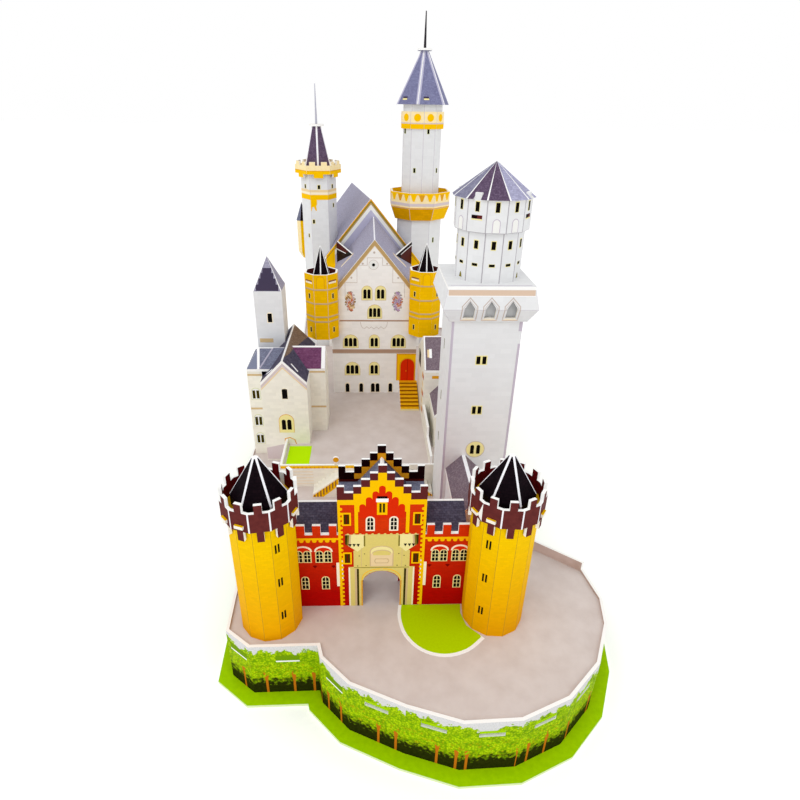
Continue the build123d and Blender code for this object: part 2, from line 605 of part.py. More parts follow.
def tower_crown(side):
    """Folded ring round the shaft, each face with a merlon above and a tab hanging below."""
    cx, cy = TOWERS[side]
    crown = tube(cx, cy, radius_of(CROWN_APOTHEM, TOWER_SIDES), TOWER_SIDES, TOWER_TURN[side],
                 CROWN_LOW, CROWN_HIGH)
    for face in range(TOWER_SIDES):
        turn = TOWER_TURN[side] + 360.0 * face / TOWER_SIDES
        crown += facet_box(cx, cy, turn, CROWN_APOTHEM, CROWN_MERLON, CROWN_HIGH - OVER,
                           CROWN_HIGH + CROWN_MERLON_HEIGHT)
        crown += facet_box(cx, cy, turn, CROWN_APOTHEM, CROWN_DROP,
                           CROWN_LOW - CROWN_DROP_HEIGHT, CROWN_LOW + OVER)
    for face in CROWN_TAB_FACES:
        turn = TOWER_TURN[side] + 360.0 * face / TOWER_SIDES
        crown -= facet_box(cx, cy, turn, CROWN_APOTHEM + OVER, CROWN_TAB, TOWER_TOP - FIT,
                           TOWER_TOP + BOARD + FIT, BOARD + 2 * OVER)
    return crown


def tower_spire(side):
    cx, cy = TOWERS[side]
    turn = SPIRE_TURN[side]
    low = TOWER_TOP + BOARD
    eave = low + SPIRE_SKIRT
    skirt = tube(cx, cy, SPIRE_R, SPIRE_SIDES, turn, low, eave)
    return skirt + taper_shell(cx, cy, SPIRE_SIDES, turn, eave, SPIRE_R,
                               eave + SPIRE_HEIGHT, SPIRE_TOP_R)


# Keep

def square(half_size):
    cx, cy = KEEP_X, KEEP_Y
    return [(cx - half_size, cy - half_size), (cx + half_size, cy - half_size),
            (cx + half_size, cy + half_size), (cx - half_size, cy + half_size)]


def square_taper(low, low_half, high, high_half):
    bottom = [(x, y, low) for x, y in square(low_half)]
    top = [(x, y, high) for x, y in square(high_half)]
    return frustum(bottom, top)


def keep_shaft():
    half = KEEP_SIZE / 2
    return (plate(square(half), 0, KEEP_TOP)
            - plate(square(half - BOARD), -OVER, KEEP_TOP + OVER))


def keep_head():
    """Head of the keep: one sheet folded outwards and in again, with three niches cut through."""
    low_half = KEEP_SIZE / 2 + HEAD_FOOT_OUT
    top_half = KEEP_SIZE / 2 + HEAD_TOP_OUT
    head = (square_taper(HEAD_LOW, low_half, HEAD_MID, HEAD_SIZE)
            + square_taper(HEAD_MID, HEAD_SIZE, KEEP_TOP, top_half))
    head -= square_taper(HEAD_LOW, low_half - BOARD, HEAD_MID, HEAD_SIZE - BOARD)
    head -= square_taper(HEAD_MID, HEAD_SIZE - BOARD, KEEP_TOP, top_half - BOARD)
    sill, spring = HEAD_MID - NICHE_DEPTH, HEAD_MID + NICHE_RISE
    half = NICHE_WIDTH / 2
    for step in (-1, 0, 1):
        x = KEEP_X + NICHE_PITCH * step
        outline = [(x - half, sill), (x + half, sill), (x + half, spring),
                   (x, spring + NICHE_POINT), (x - half, spring)]
        head -= board_xz(outline, KEEP_Y - HEAD_SIZE - OVER, KEEP_Y - KEEP_SIZE / 2 - FIT)
    return head


def keep_top_plate():
    return plate(square(KEEP_SIZE / 2 + HEAD_TOP_OUT), KEEP_TOP, KEEP_TOP + BOARD)


def drum_prism(radius, low, high):
    return prism(DRUM_X, DRUM_Y, radius, DRUM_SIDES, DRUM_TURN, low, high)


def drum_tube(radius, low, high):
    return tube(DRUM_X, DRUM_Y, radius, DRUM_SIDES, DRUM_TURN, low, high)


def keep_drum():
    return drum_tube(DRUM_R, DRUM_FOOT, LANTERN_TOP)


def merlon_turns():
    return [DRUM_TURN + 360.0 * face / DRUM_SIDES for face in LANTERN_MERLON_FACES]


def keep_lantern():
    """Wider drum round the top of the lower one, with four small merlons."""
    apothem = apothem_of(LANTERN_R, DRUM_SIDES)
    lantern = drum_tube(LANTERN_R, LANTERN_LOW, LANTERN_TOP)
    for turn in merlon_turns():
        lantern += facet_box(DRUM_X, DRUM_Y, turn, apothem, LANTERN_MERLON, LANTERN_TOP - OVER,
                             LANTERN_TOP + LANTERN_MERLON_HEIGHT)
    lantern += drum_prism(LANTERN_R - BOARD / 2, LANTERN_LOW, LANTERN_LOW + BOARD)
    return lantern - drum_prism(DRUM_R + TINY, LANTERN_LOW - OVER, LANTERN_LOW + BOARD + OVER)


def keep_roof():
    roof = taper_shell(DRUM_X, DRUM_Y, DRUM_SIDES, DRUM_TURN, LANTERN_TOP, KEEP_ROOF_R,
                       LANTERN_TOP + KEEP_ROOF_HEIGHT, TINY)
    reach = KEEP_ROOF_R + OVER
    depth = reach - apothem_of(LANTERN_R, DRUM_SIDES) + BOARD + FIT
    for turn in merlon_turns():
        roof -= facet_box(DRUM_X, DRUM_Y, turn, reach, LANTERN_MERLON + 2 * FIT,
                          LANTERN_TOP - OVER, LANTERN_TOP + LANTERN_MERLON_HEIGHT + OVER, depth)
    return roof


# Houses

def gable_walls(xc, half, ridge, eave, left, right, y0, y1, foot):
    """Four walls of a house folded from one strip, their tops cut to the slope of the roof."""
    outline = under_roof(xc, half, ridge, eave, left, right, foot)
    body = board_xz(outline, y0, y1)
    return body - block(left + BOARD, right - BOARD, y0 + BOARD, y1 - BOARD, foot - OVER, FAR)


def link_house():
    y0, y1 = GATE_DEPTH, KEEP_Y - KEEP_SIZE / 2
    return gable_walls(LINK_X, LINK_HALF + LINK_EAVE_OUT, LINK_RIDGE, LINK_EAVE - LINK_EAVE_OUT,
                       LINK_X - LINK_HALF, LINK_X + LINK_HALF, y0, y1, 0)


def link_roof():
    y0, y1 = GATE_DEPTH, KEEP_Y - KEEP_SIZE / 2
    return v_roof(LINK_X, LINK_HALF + LINK_EAVE_OUT, LINK_RIDGE, LINK_EAVE - LINK_EAVE_OUT,
                  y0, y1)


def court_wall():
    y0, y1 = TERRACE_Y + BOARD, RANGE[2]
    outline = [(y0, UPPER_FLOOR), (y1, UPPER_FLOOR), (y1, COURT_WALL_HIGH),
               (COURT_WALL_STEP, COURT_WALL_HIGH), (COURT_WALL_STEP, COURT_WALL_LOW),
               (y0, COURT_WALL_LOW)]
    return board_yz(outline, COURT_WALL_X, COURT_WALL_X + BOARD)


def low_wing():
    x0, x1, y0, y1 = LOW_WING
    half = (x1 - x0) / 2
    return gable_walls((x0 + x1) / 2, half, LOW_WING_RIDGE, LOW_WING_EAVE,
                       x0 + LOW_WING_EAVE_OUT, x1 - LOW_WING_EAVE_OUT, y0, y1, UPPER_FLOOR)


def low_wing_roof():
    x0, x1, y0, y1 = LOW_WING
    return v_roof((x0 + x1) / 2, (x1 - x0) / 2, LOW_WING_RIDGE, LOW_WING_EAVE, y0, y1)


def range_section():
    """Outline of the range roof from the side: front slope steeper than the rear one."""
    y0, y1 = RANGE[2], RANGE[3]
    front = (RANGE_RIDGE - RANGE_EAVE) / (RANGE_RIDGE_Y - y0)
    rear = (RANGE_RIDGE - RANGE_REAR_EAVE) / (y1 - RANGE_RIDGE_Y)
    drop_front = BOARD * math.hypot(1, front)
    drop_rear = BOARD * math.hypot(1, rear)
    drop = min(drop_front, drop_rear)
    upper = [(y0, RANGE_EAVE), (RANGE_RIDGE_Y, RANGE_RIDGE), (y1, RANGE_REAR_EAVE)]
    lower = [(y0, RANGE_EAVE - drop), (RANGE_RIDGE_Y, RANGE_RIDGE - drop),
             (y1, RANGE_REAR_EAVE - drop)]
    return upper, lower


def range_walls():
    x0, x1, y0, y1 = RANGE
    upper, lower = range_section()
    body = board_yz([(y0, UPPER_FLOOR)] + lower + [(y1, UPPER_FLOOR)], x0, x1)
    return body - block(x0 + BOARD, x1 - BOARD, y0 + BOARD, y1 - BOARD, 0, FAR)


def range_roof():
    x0, x1, y0, y1 = RANGE
    upper, lower = range_section()
    return board_yz(upper + lower[::-1], x0, x1)


def house_roof_shape():
    x0, x1, y0, y1 = HOUSE
    xc, half = (x0 + x1) / 2, (x1 - x0) / 2
    return v_roof(xc, half, HOUSE_RIDGE, HOUSE_EAVE, y0, y1)


def house_wing_section():
    y0, y1 = HOUSE_WING[2], HOUSE_WING[3]
    yc, half = (y0 + y1) / 2, (y1 - y0) / 2
    drop = BOARD * math.hypot(half, HOUSE_WING_RIDGE - HOUSE_WING_EAVE) / half
    upper = [(y0, HOUSE_WING_EAVE), (yc, HOUSE_WING_RIDGE), (y1, HOUSE_WING_EAVE)]
    lower = [(y, z - drop) for y, z in upper]
    return upper, lower


def left_house():
    """Main walls of the left house; the left part stands on the front court."""
    x0, x1, y0, y1 = HOUSE
    xc, half = (x0 + x1) / 2, (x1 - x0) / 2
    walls = gable_walls(xc, half, HOUSE_RIDGE, HOUSE_EAVE, x0, x1, y0, y1, 0)
    return walls - block(TERRACE_LEFT, x1 + OVER, y0 - OVER, y1 + OVER, -OVER, UPPER_FLOOR)


def house_wing():
    x0, x1, y0, y1 = HOUSE_WING
    upper, lower = house_wing_section()
    body = board_yz([(y0, UPPER_FLOOR)] + lower + [(y1, UPPER_FLOOR)], x0, x1)
    return body - block(x0 - OVER, x1 - BOARD, y0 + BOARD, y1 - BOARD, 0, FAR)


def house_wing_roof():
    x0, x1, y0, y1 = HOUSE_WING
    upper, lower = house_wing_section()
    middle = (HOUSE[0] + HOUSE[1]) / 2
    return board_yz(upper + lower[::-1], middle, x1) - house_solid_above()


def house_solid_above():
    """Everything below the upper side of the main roof, so that the wing roof stops on it."""
    x0, x1, y0, y1 = HOUSE
    xc = (x0 + x1) / 2
    outline = [(x0, 0), (x1, 0), (x1, HOUSE_EAVE), (xc, HOUSE_RIDGE), (x0, HOUSE_EAVE)]
    return board_xz(outline, y0, y1)


def annex_solid(drop, foot):
    """Solid below the hipped roof of the annex, lowered by drop."""
    x0, x1, y0, y1 = ANNEX
    yc = (y0 + y1) / 2
    inner = (HOUSE[0] + HOUSE[1]) / 2
    eave, ridge = ANNEX_EAVE - drop, ANNEX_RIDGE - drop
    gable = board_yz([(y0, foot), (y0, eave), (yc, ridge), (y1, eave), (y1, foot)], x0, inner)
    hip = board_xz([(x0, foot), (x0, eave), (x0 + ANNEX_HIP, ridge), (inner, ridge),
                    (inner, foot)], y0, y1)
    return gable & hip


def annex_drop():
    half = (ANNEX[3] - ANNEX[2]) / 2
    return BOARD * math.hypot(half, ANNEX_RIDGE - ANNEX_EAVE) / half


def annex():
    x0, x1, y0, y1 = ANNEX
    body = annex_solid(annex_drop(), 0) & block(x0, x1, y0, y1, -OVER, FAR)
    return body - block(x0 + BOARD, x1 + OVER, y0 + BOARD, y1 - BOARD, -OVER, FAR)


def annex_roof():
    drop = annex_drop()
    return annex_solid(0, ANNEX_EAVE - drop) - annex_solid(drop, 0) - house_solid_above()


def back_tower():
    x0, x1, y0, y1 = BACK_TOWER
    body = block(x0, x1, y0, y1, 0, BACK_TOWER_EAVE)
    body -= block(x0 + BOARD, x1 - BOARD, y0 + BOARD, y1 - BOARD, -OVER, FAR)
    return body - house_solid_above() - annex_solid(0, 0)


def back_tower_roof():
    x0, x1, y0, y1 = BACK_TOWER
    cx, cy = (x0 + x1) / 2, (y0 + y1) / 2
    size = (x1 - x0) / 2
    return taper_shell(cx, cy, 4, 0.0, BACK_TOWER_EAVE, size * math.sqrt(2),
                       BACK_TOWER_EAVE + BACK_TOWER_ROOF, TINY)


# Palace, front block

def facade_top(x):
    return FACADE_APEX - VERGE * abs(x - FACADE_APEX_X)


def facade_outline(left, right, foot, lift):
    return [(left, foot), (right, foot), (right, facade_top(right) + lift),
            (FACADE_APEX_X, FACADE_APEX + lift), (left, facade_top(left) + lift)]


FRONT_ROOF_DROP = BOARD * math.hypot(1, VERGE)


def front_walls():
    """Facade and side walls of the front block, one sheet folded at the corners."""
    foot = UPPER_FLOOR
    left, right = FACADE_LEFT, FACADE_RIGHT
    walls = board_xz(facade_outline(left, right, foot, 0), FACADE_Y, FACADE_Y + BOARD)
    lift = -ROOF_DROP - FRONT_ROOF_DROP
    body = board_xz(facade_outline(left, right, foot, lift), FACADE_Y + BOARD, BLOCK_END)
    body -= block(left + BOARD, right - BOARD, FACADE_Y, BLOCK_END + OVER, foot - OVER, FAR)
    return walls + body


def front_roof():
    left, right = FACADE_LEFT - EAVE_OUT, FACADE_RIGHT + EAVE_OUT
    lift = -ROOF_DROP
    upper = [(left, facade_top(left) + lift), (FACADE_APEX_X, FACADE_APEX + lift),
             (right, facade_top(right) + lift)]
    lower = [(x, z - FRONT_ROOF_DROP) for x, z in upper]
    return board_xz(upper + lower[::-1], FACADE_Y + BOARD, BLOCK_END)


def roof_fin(outer, inner):
    """Upright board on the front roof, running from the middle back to the upper gable."""
    length = math.hypot(inner - outer, FIN_RUN)
    angle = math.degrees(math.atan2(-FIN_RUN, inner - outer))
    strip = block(0, length, 0, BOARD, 0, FIN_TOP)
    fin = Pos(outer, BLOCK_END, 0) * Rot(0, 0, angle) * strip
    fin -= board_xz(facade_outline(FACADE_LEFT - FIN_RUN, FACADE_RIGHT + FIN_RUN, 0, -ROOF_DROP),
                    FACADE_Y, BLOCK_END)
    return fin & block(-FAR, FAR, FACADE_Y, BLOCK_END, 0, FAR)


def entrance_stairs():
    x0, x1 = ENTRANCE_X, ENTRANCE_X + ENTRANCE_WIDTH
    front, top = FACADE_Y - ENTRANCE_RUN, UPPER_FLOOR + ENTRANCE_RISE
    run, rise = ENTRANCE_RUN / ENTRANCE_STEPS, ENTRANCE_RISE / ENTRANCE_STEPS
    points = [(front, UPPER_FLOOR)]
    for number in range(ENTRANCE_STEPS):
        height = UPPER_FLOOR + rise * (number + 1)
        points.append((front + run * number, height))
        points.append((front + run * (number + 1), height))
    points.append((FACADE_Y, UPPER_FLOOR))
    stairs = board_yz(points, x0, x1)
    toe = front + 2 * run
    hollow = [(toe, UPPER_FLOOR - OVER), (toe, UPPER_FLOOR),
              (FACADE_Y - BOARD, top - 2 * BOARD), (FACADE_Y - BOARD, UPPER_FLOOR - OVER)]
    return stairs - board_yz(hollow, x0 + BOARD, x1 - BOARD)


# Palace, rear block

def upper_top(x):
    return UPPER_APEX - VERGE * abs(x - UPPER_APEX_X)


def upper_gable():
    """Board between the two blocks; it carries the end of the rear roof."""
    left, right = UPPER_LEFT, UPPER_RIGHT
    outline = [(left, UPPER_FLOOR), (right, UPPER_FLOOR), (right, upper_top(right)),
               (UPPER_APEX_X, UPPER_APEX), (left, upper_top(left))]
    return (board_xz(outline, BLOCK_END, BLOCK_END + BOARD)
            - tall_space() - side_space())


def rear_place():
    return Pos(UPPER_APEX_X, BLOCK_END + BOARD, 0) * Rot(0, 0, REAR_TURN)


def rear_outline(half, foot, lift):
    return [(-half, foot), (half, foot), (half, UPPER_APEX - VERGE * half + lift),
            (0, UPPER_APEX + lift), (-half, UPPER_APEX - VERGE * half + lift)]


def behind_gable():
    return block(-FAR, FAR, BLOCK_END + BOARD, FAR, 0, FAR)


def rear_walls():
    lift = -ROOF_DROP - FRONT_ROOF_DROP
    foot = UPPER_FLOOR
    inner = REAR_HALF - BOARD
    outer = board_xz(rear_outline(REAR_HALF, foot, lift), -REAR_HALF, REAR_LENGTH)
    outer -= block(-inner, inner, -REAR_HALF - OVER, REAR_LENGTH - BOARD, 0, FAR)
    walls = (rear_place() * outer) & behind_gable()
    walls -= block(TALL_X - TALL_LOW_R, FAR, BLOCK_END, TALL_Y, 0, FAR)
    walls -= block(-FAR, SIDE_X + SIDE_R, BLOCK_END, SIDE_Y, 0, FAR)
    return walls - tall_space() - side_space()


def rear_roof():
    half = REAR_HALF + EAVE_OUT
    lift = -ROOF_DROP
    upper = [(-half, UPPER_APEX - VERGE * half + lift), (0, UPPER_APEX + lift),
             (half, UPPER_APEX - VERGE * half + lift)]
    lower = [(x, z - FRONT_ROOF_DROP) for x, z in upper]
    sheet = board_xz(upper + lower[::-1], -REAR_HALF, REAR_LENGTH)
    return ((rear_place() * sheet) & behind_gable()) - tall_space() - side_space()


# Turrets on the palace corners

def palace_solid(clearance):
    left, right = FACADE_LEFT - clearance, FACADE_RIGHT + clearance
    body = board_xz(facade_outline(left, right, 0, clearance), FACADE_Y - clearance, BLOCK_END)
    reach = EAVE_OUT + clearance
    roof_left, roof_right = FACADE_LEFT - reach, FACADE_RIGHT + reach
    lift = -ROOF_DROP
    upper = [(roof_left, facade_top(roof_left) + lift + clearance),
             (FACADE_APEX_X, FACADE_APEX + lift + clearance),
             (roof_right, facade_top(roof_right) + lift + clearance)]
    lower = [(x, z - FRONT_ROOF_DROP - 2 * clearance) for x, z in upper]
    return body + board_xz(upper + lower[::-1], FACADE_Y + BOARD - clearance, BLOCK_END)


def turret_body(place):
    """Folded tube on a palace corner, open above its floor and closed at the foot."""
    cx, radius, low, height = place
    floor = low + height - TURRET_SHELF
    body = tube(cx, FACADE_Y, radius, 8, 0.0, low, low + height)
    body += prism(cx, FACADE_Y, radius - BOARD / 2, 8, 0.0, low, low + BOARD)
    body += prism(cx, FACADE_Y, radius - BOARD / 2, 8, 0.0, floor - BOARD, floor)
    return body - palace_solid(TINY)


def turret_cone(place):
    cx, radius, low, height = place
    floor = low + height - TURRET_SHELF
    return taper_shell(cx, FACADE_Y, TURRET_CONE_SIDES, TURRET_CONE_TURN, floor, TURRET_CONE_R,
                       floor + TURRET_CONE_HEIGHT, TURRET_CONE_TOP_R)


# Tall tower

def tall_prism(radius, low, high):
    return prism(TALL_X, TALL_Y, radius, TALL_LOW_SIDES, TALL_LOW_TURN, low, high)


def gallery_form(clearance):
    """Outer form of the gallery: a taper and the upright parapet on it."""
    form = taper(TALL_X, TALL_Y, TALL_LOW_SIDES, TALL_LOW_TURN, GALLERY_LOW,
                 TALL_LOW_R + GALLERY_FOOT_OUT + clearance, GALLERY_MID, GALLERY_R + clearance)
    return form + tall_prism(GALLERY_R + clearance, GALLERY_MID, GALLERY_TOP)


def tall_space():
    return tall_prism(TALL_LOW_R + TINY, 0, GALLERY_TOP) + gallery_form(TINY)


def tall_lower():
    return tube(TALL_X, TALL_Y, TALL_LOW_R, TALL_LOW_SIDES, TALL_LOW_TURN, UPPER_FLOOR,
                TALL_LOW_TOP)


def tall_gallery():
    """Corbelled gallery: a tapered ring folded out to the upright parapet."""
    inner = radius_of(apothem_of(GALLERY_R, TALL_LOW_SIDES) - BOARD, TALL_LOW_SIDES)
    gallery = gallery_form(0) - tall_prism(inner, TALL_FLOOR, GALLERY_TOP + OVER)
    return gallery - tall_prism(TALL_LOW_R + TINY, GALLERY_LOW - OVER, TALL_LOW_TOP)


def tall_upper():
    """Upper shaft with the ring round its top."""
    shaft = tube(TALL_X, TALL_Y, TALL_R, TALL_SIDES, TALL_TURN, TALL_FLOOR, TALL_TOP)
    ring = prism(TALL_X, TALL_Y, TALL_R + RING_OUT, TALL_SIDES, TALL_TURN, RING_LOW, RING_HIGH)
    inner = TALL_R - BOARD / 2
    return shaft + (ring - prism(TALL_X, TALL_Y, inner, TALL_SIDES, TALL_TURN,
                                 RING_LOW - OVER, RING_HIGH + OVER))


def tall_roof():
    shape = (TALL_X, TALL_Y, TALL_SIDES, TALL_TURN, TALL_TOP, TALL_CONE_R, TALL_CONE_TOP,
             TALL_CONE_TOP_R)
    base = taper(*shape) & block(-FAR, FAR, -FAR, FAR, TALL_TOP, TALL_TOP + BOARD)
    return taper_shell(*shape) + base + pin(TALL_X, TALL_Y, TALL_CONE_TOP, TALL_DISC_R, TALL_PIN)


def pin(cx, cy, low, disc_radius, length):
    disc = Pos(cx, cy, low + BOARD / 2) * Cylinder(disc_radius, BOARD)
    needle = Pos(cx, cy, low + BOARD + length / 2) * Cone(PIN_R, PIN_TIP_R, length)
    return disc + needle


# Left rear tower

def side_space():
    return prism(SIDE_X, SIDE_Y, SIDE_R + TINY, SIDE_SIDES, SIDE_TURN, 0, SIDE_TOP + OVER)


def side_tower():
    return tube(SIDE_X, SIDE_Y, SIDE_R, SIDE_SIDES, SIDE_TURN, UPPER_FLOOR, SIDE_TOP)


def side_gallery():
    """Parapet with two tongues above and one below on each face, and the floor inside it."""
    apothem = apothem_of(SIDE_GALLERY_R, SIDE_SIDES)
    width = 2 * apothem * math.tan(math.pi / SIDE_SIDES)
    low, high = SIDE_GALLERY_LOW + SIDE_SCALLOP, SIDE_GALLERY_HIGH - SIDE_SCALLOP
    gallery = tube(SIDE_X, SIDE_Y, SIDE_GALLERY_R, SIDE_SIDES, SIDE_TURN, low, high)
    drop = block(-width / 5, width / 5, -apothem, -apothem + BOARD, SIDE_GALLERY_LOW, low + OVER)
    tongue = block(-width / 8, width / 8, -apothem, -apothem + BOARD, high - OVER,
                   SIDE_GALLERY_HIGH)
    for face in range(SIDE_SIDES):
        place = Pos(SIDE_X, SIDE_Y, 0) * Rot(0, 0, SIDE_TURN + 360.0 * face / SIDE_SIDES)
        gallery += place * drop
        for step in (-width / 4, width / 4):
            gallery += place * Pos(step, 0, 0) * tongue
    floor = prism(SIDE_X, SIDE_Y, radius_of(apothem - TINY, SIDE_SIDES), SIDE_SIDES, SIDE_TURN,
                  SIDE_TOP, SIDE_TOP + BOARD)
    return gallery + floor


def side_roof():
    cone = taper_shell(SIDE_X, SIDE_Y, SIDE_CONE_SIDES, SIDE_CONE_TURN, SIDE_TOP + BOARD,
                       SIDE_CONE_R, SIDE_CONE_TOP, SIDE_CONE_TOP_R)
    return cone + pin(SIDE_X, SIDE_Y, SIDE_CONE_TOP, SIDE_DISC_R, SIDE_PIN)


def rear_turret():
    """Slim turret on the left rear corner of the palace, body and cap folded from one sheet."""
    cx, cy = -REAR_HALF - REAR_TURRET_OUT, REAR_LENGTH + REAR_TURRET_BACK
    foot = REAR_TURRET_LOW + REAR_TURRET_POINT
    eave = foot + REAR_TURRET_HEIGHT
    body = prism(cx, cy, REAR_TURRET_R, 8, 0.0, foot, eave)
    body += taper(cx, cy, 8, 0.0, REAR_TURRET_LOW, OVER, foot, REAR_TURRET_R)
    body += taper(cx, cy, 8, 0.0, eave, REAR_TURRET_R + REAR_TURRET_EAVE,
                  eave + REAR_TURRET_CAP, TINY)
    half = REAR_HALF + TINY
    back = REAR_LENGTH + TINY
    body -= board_xz(rear_outline(half, 0, -ROOF_DROP - FRONT_ROOF_DROP), 0, back)
    sheet = board_xz(rear_outline(half + EAVE_OUT, 0, TINY - ROOF_DROP), 0, back)
    sheet &= block(-FAR, FAR, 0, FAR, UPPER_APEX - VERGE * half - 2 * FRONT_ROOF_DROP, FAR)
    return rear_place() * (body - sheet)


def build():
    nodes = {"base_board": plate(BASE_OUTLINE, -WALL_HEIGHT - BOARD, -WALL_HEIGHT)}
    nodes.update(hill_walls())
    nodes["hidden_floor"] = hidden_floor()
    nodes["front_court_floor"] = front_floor()
    nodes["upper_court_floor"] = upper_floor()
    nodes["retaining_wall"] = retaining_wall()
    nodes["terrace_stairs"] = terrace_stairs() + stair_rail()
    nodes["gate_front_wall"] = gate_front()
    nodes["gate_rear_wall"] = gate_rear()
    nodes["gate_roof"] = gate_roof()
    for side, sign in (("left", -1), ("right", 1)):
        nodes["wing_roof_" + side] = wing_roof(sign)
        nodes["tower_shaft_" + side] = tower_shaft(side)
        nodes["tower_crown_" + side] = tower_crown(side)
        nodes["tower_disc_" + side] = tower_disc(side)
        nodes["tower_spire_" + side] = tower_spire(side)
    nodes["keep_shaft"] = keep_shaft()
    nodes["keep_head"] = keep_head()
    nodes["keep_top_plate"] = keep_top_plate()
    nodes["keep_drum"] = keep_drum()
    nodes["keep_lantern"] = keep_lantern()
    nodes["keep_roof"] = keep_roof()
    nodes["link_house_walls"] = link_house()
    nodes["link_house_roof"] = link_roof()
    nodes["low_wing_walls"] = low_wing()
    nodes["low_wing_roof"] = low_wing_roof()
    nodes["range_walls"] = range_walls() + court_wall()
    nodes["range_roof"] = range_roof()
    nodes["palace_front_walls"] = front_walls()
    nodes["palace_front_roof"] = (front_roof() + roof_fin(FACADE_LEFT, FIN_LEFT_END)
                                  + roof_fin(FACADE_RIGHT, FIN_RIGHT_END))
    nodes["entrance_stairs"] = entrance_stairs()
    nodes["palace_upper_gable"] = upper_gable()
    nodes["palace_rear_walls"] = rear_walls()
    nodes["palace_rear_roof"] = rear_roof()
    for side, place in (("left", LEFT_TURRET), ("right", RIGHT_TURRET)):
        nodes["turret_body_" + side] = turret_body(place)
        nodes["turret_cone_" + side] = turret_cone(place)
    nodes["tall_tower_lower"] = tall_lower()
    nodes["tall_tower_gallery"] = tall_gallery()
    nodes["tall_tower_upper"] = tall_upper()
    nodes["tall_tower_roof"] = tall_roof()
    nodes["side_tower_shaft"] = side_tower()
    nodes["side_tower_gallery"] = side_gallery()
    nodes["side_tower_roof"] = side_roof()
    nodes["rear_turret"] = rear_turret()
    nodes["left_house_walls"] = left_house() + house_wing() + annex()
    nodes["left_house_roof"] = house_roof_shape()
    nodes["house_wing_roof"] = house_wing_roof()
    nodes["annex_roof"] = annex_roof()
    nodes["back_tower_walls"] = back_tower()
    nodes["back_tower_roof"] = back_tower_roof()
    return nodes


os.makedirs("parts", exist_ok=True)
for node_name, node_shape in build().items():
    save(node_shape, node_name)
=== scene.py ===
import math

import bmesh
import bpy
from mathutils import Matrix, Vector


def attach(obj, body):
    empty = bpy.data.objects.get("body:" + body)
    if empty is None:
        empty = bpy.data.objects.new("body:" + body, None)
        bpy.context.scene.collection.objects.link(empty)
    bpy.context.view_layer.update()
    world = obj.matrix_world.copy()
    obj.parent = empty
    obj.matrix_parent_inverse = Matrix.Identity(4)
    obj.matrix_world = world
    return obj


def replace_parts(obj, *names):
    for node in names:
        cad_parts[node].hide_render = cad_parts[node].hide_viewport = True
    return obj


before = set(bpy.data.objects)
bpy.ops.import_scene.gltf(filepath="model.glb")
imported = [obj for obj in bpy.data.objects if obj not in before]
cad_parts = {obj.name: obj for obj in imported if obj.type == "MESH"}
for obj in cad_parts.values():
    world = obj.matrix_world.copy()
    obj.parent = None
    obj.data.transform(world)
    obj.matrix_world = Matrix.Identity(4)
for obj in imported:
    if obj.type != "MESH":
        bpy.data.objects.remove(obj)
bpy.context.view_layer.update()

# Measured coordinates are in millimetres: X right, Y back, Z up from the front court floor.
ORIGIN_X, ORIGIN_Y, ORIGIN_Z = 13.810315, 224.733233, 38.0
MM = 0.001


def place(x, y, z):
    """Point of the part's own frame in metres, from measured coordinates."""
    return Vector(((x - ORIGIN_X) * MM, (y - ORIGIN_Y) * MM, (z + ORIGIN_Z) * MM))


# Materials

def put(tree, socket, value):
    """Set the value of a socket, or link another node's output to it."""
    if isinstance(value, bpy.types.NodeSocket):
        tree.links.new(value, socket)
    else:
        socket.default_value = value


def add(tree, kind, **values):
    """New node; each name is an input's, with _ for a space, or else a setting's."""
    node = tree.nodes.new(kind)
    for name, value in values.items():
        socket = node.inputs.get(name.replace("_", " "))
        if socket is None:
            setattr(node, name, value)
        else:
            put(tree, socket, value)
    return node


def compute(tree, operation, *values):
    node = add(tree, "ShaderNodeMath", operation=operation)
    for socket, value in zip(node.inputs, values):
        put(tree, socket, value)
    return node.outputs[0]


def mix(tree, factor, first, second, blend="MIX"):
    node = add(tree, "ShaderNodeMix", data_type="RGBA", blend_type=blend)
    for number, value in ((0, factor), (6, first), (7, second)):
        put(tree, node.inputs[number], value)
    return node.outputs[2]


def start(name):
    material = bpy.data.materials.new(name)
    material.use_nodes = True
    tree = material.node_tree
    return material, tree, tree.nodes["Principled BSDF"]


def srgb(red, green, blue):
    """Colour given on the usual 0 to 255 scale, as linear values."""
    def linear(value):
        value /= 255.0
        return value / 12.92 if value <= 0.04045 else ((value + 0.055) / 1.055) ** 2.4
    return (linear(red), linear(green), linear(blue), 1.0)


def scaled(colour, factor):
    return tuple(factor * value for value in colour[:3]) + (1.0,)


def grey(value):
    return (value, value, value, 1.0)


def board_uv(tree):
    """Board coordinates in millimetres: along the face and up it."""
    return add(tree, "ShaderNodeUVMap", uv_map="board").outputs[0]


def climb(tree, low, high, clamp=True):
    """Share of the way up from one measured height to another."""
    point = add(tree, "ShaderNodeTexCoord").outputs["Object"]
    height = add(tree, "ShaderNodeSeparateXYZ", Vector=point).outputs[2]
    return add(tree, "ShaderNodeMapRange", clamp=clamp, Value=height,
               From_Min=(low + ORIGIN_Z) * MM, From_Max=(high + ORIGIN_Z) * MM).outputs[0]


def noise(tree, vector, scale, detail=3.0, rough=0.55):
    return add(tree, "ShaderNodeTexNoise", Vector=vector, Scale=scale, Detail=detail,
               Roughness=rough).outputs["Fac"]


def ramp(tree, value, stops):
    node = add(tree, "ShaderNodeValToRGB")
    elements = node.color_ramp.elements
    while len(elements) < len(stops):
        elements.new(0.5)
    for element, (position, colour) in zip(elements, stops):
        element.position = position
        element.color = colour
    put(tree, node.inputs[0], value)
    return node.outputs[0]


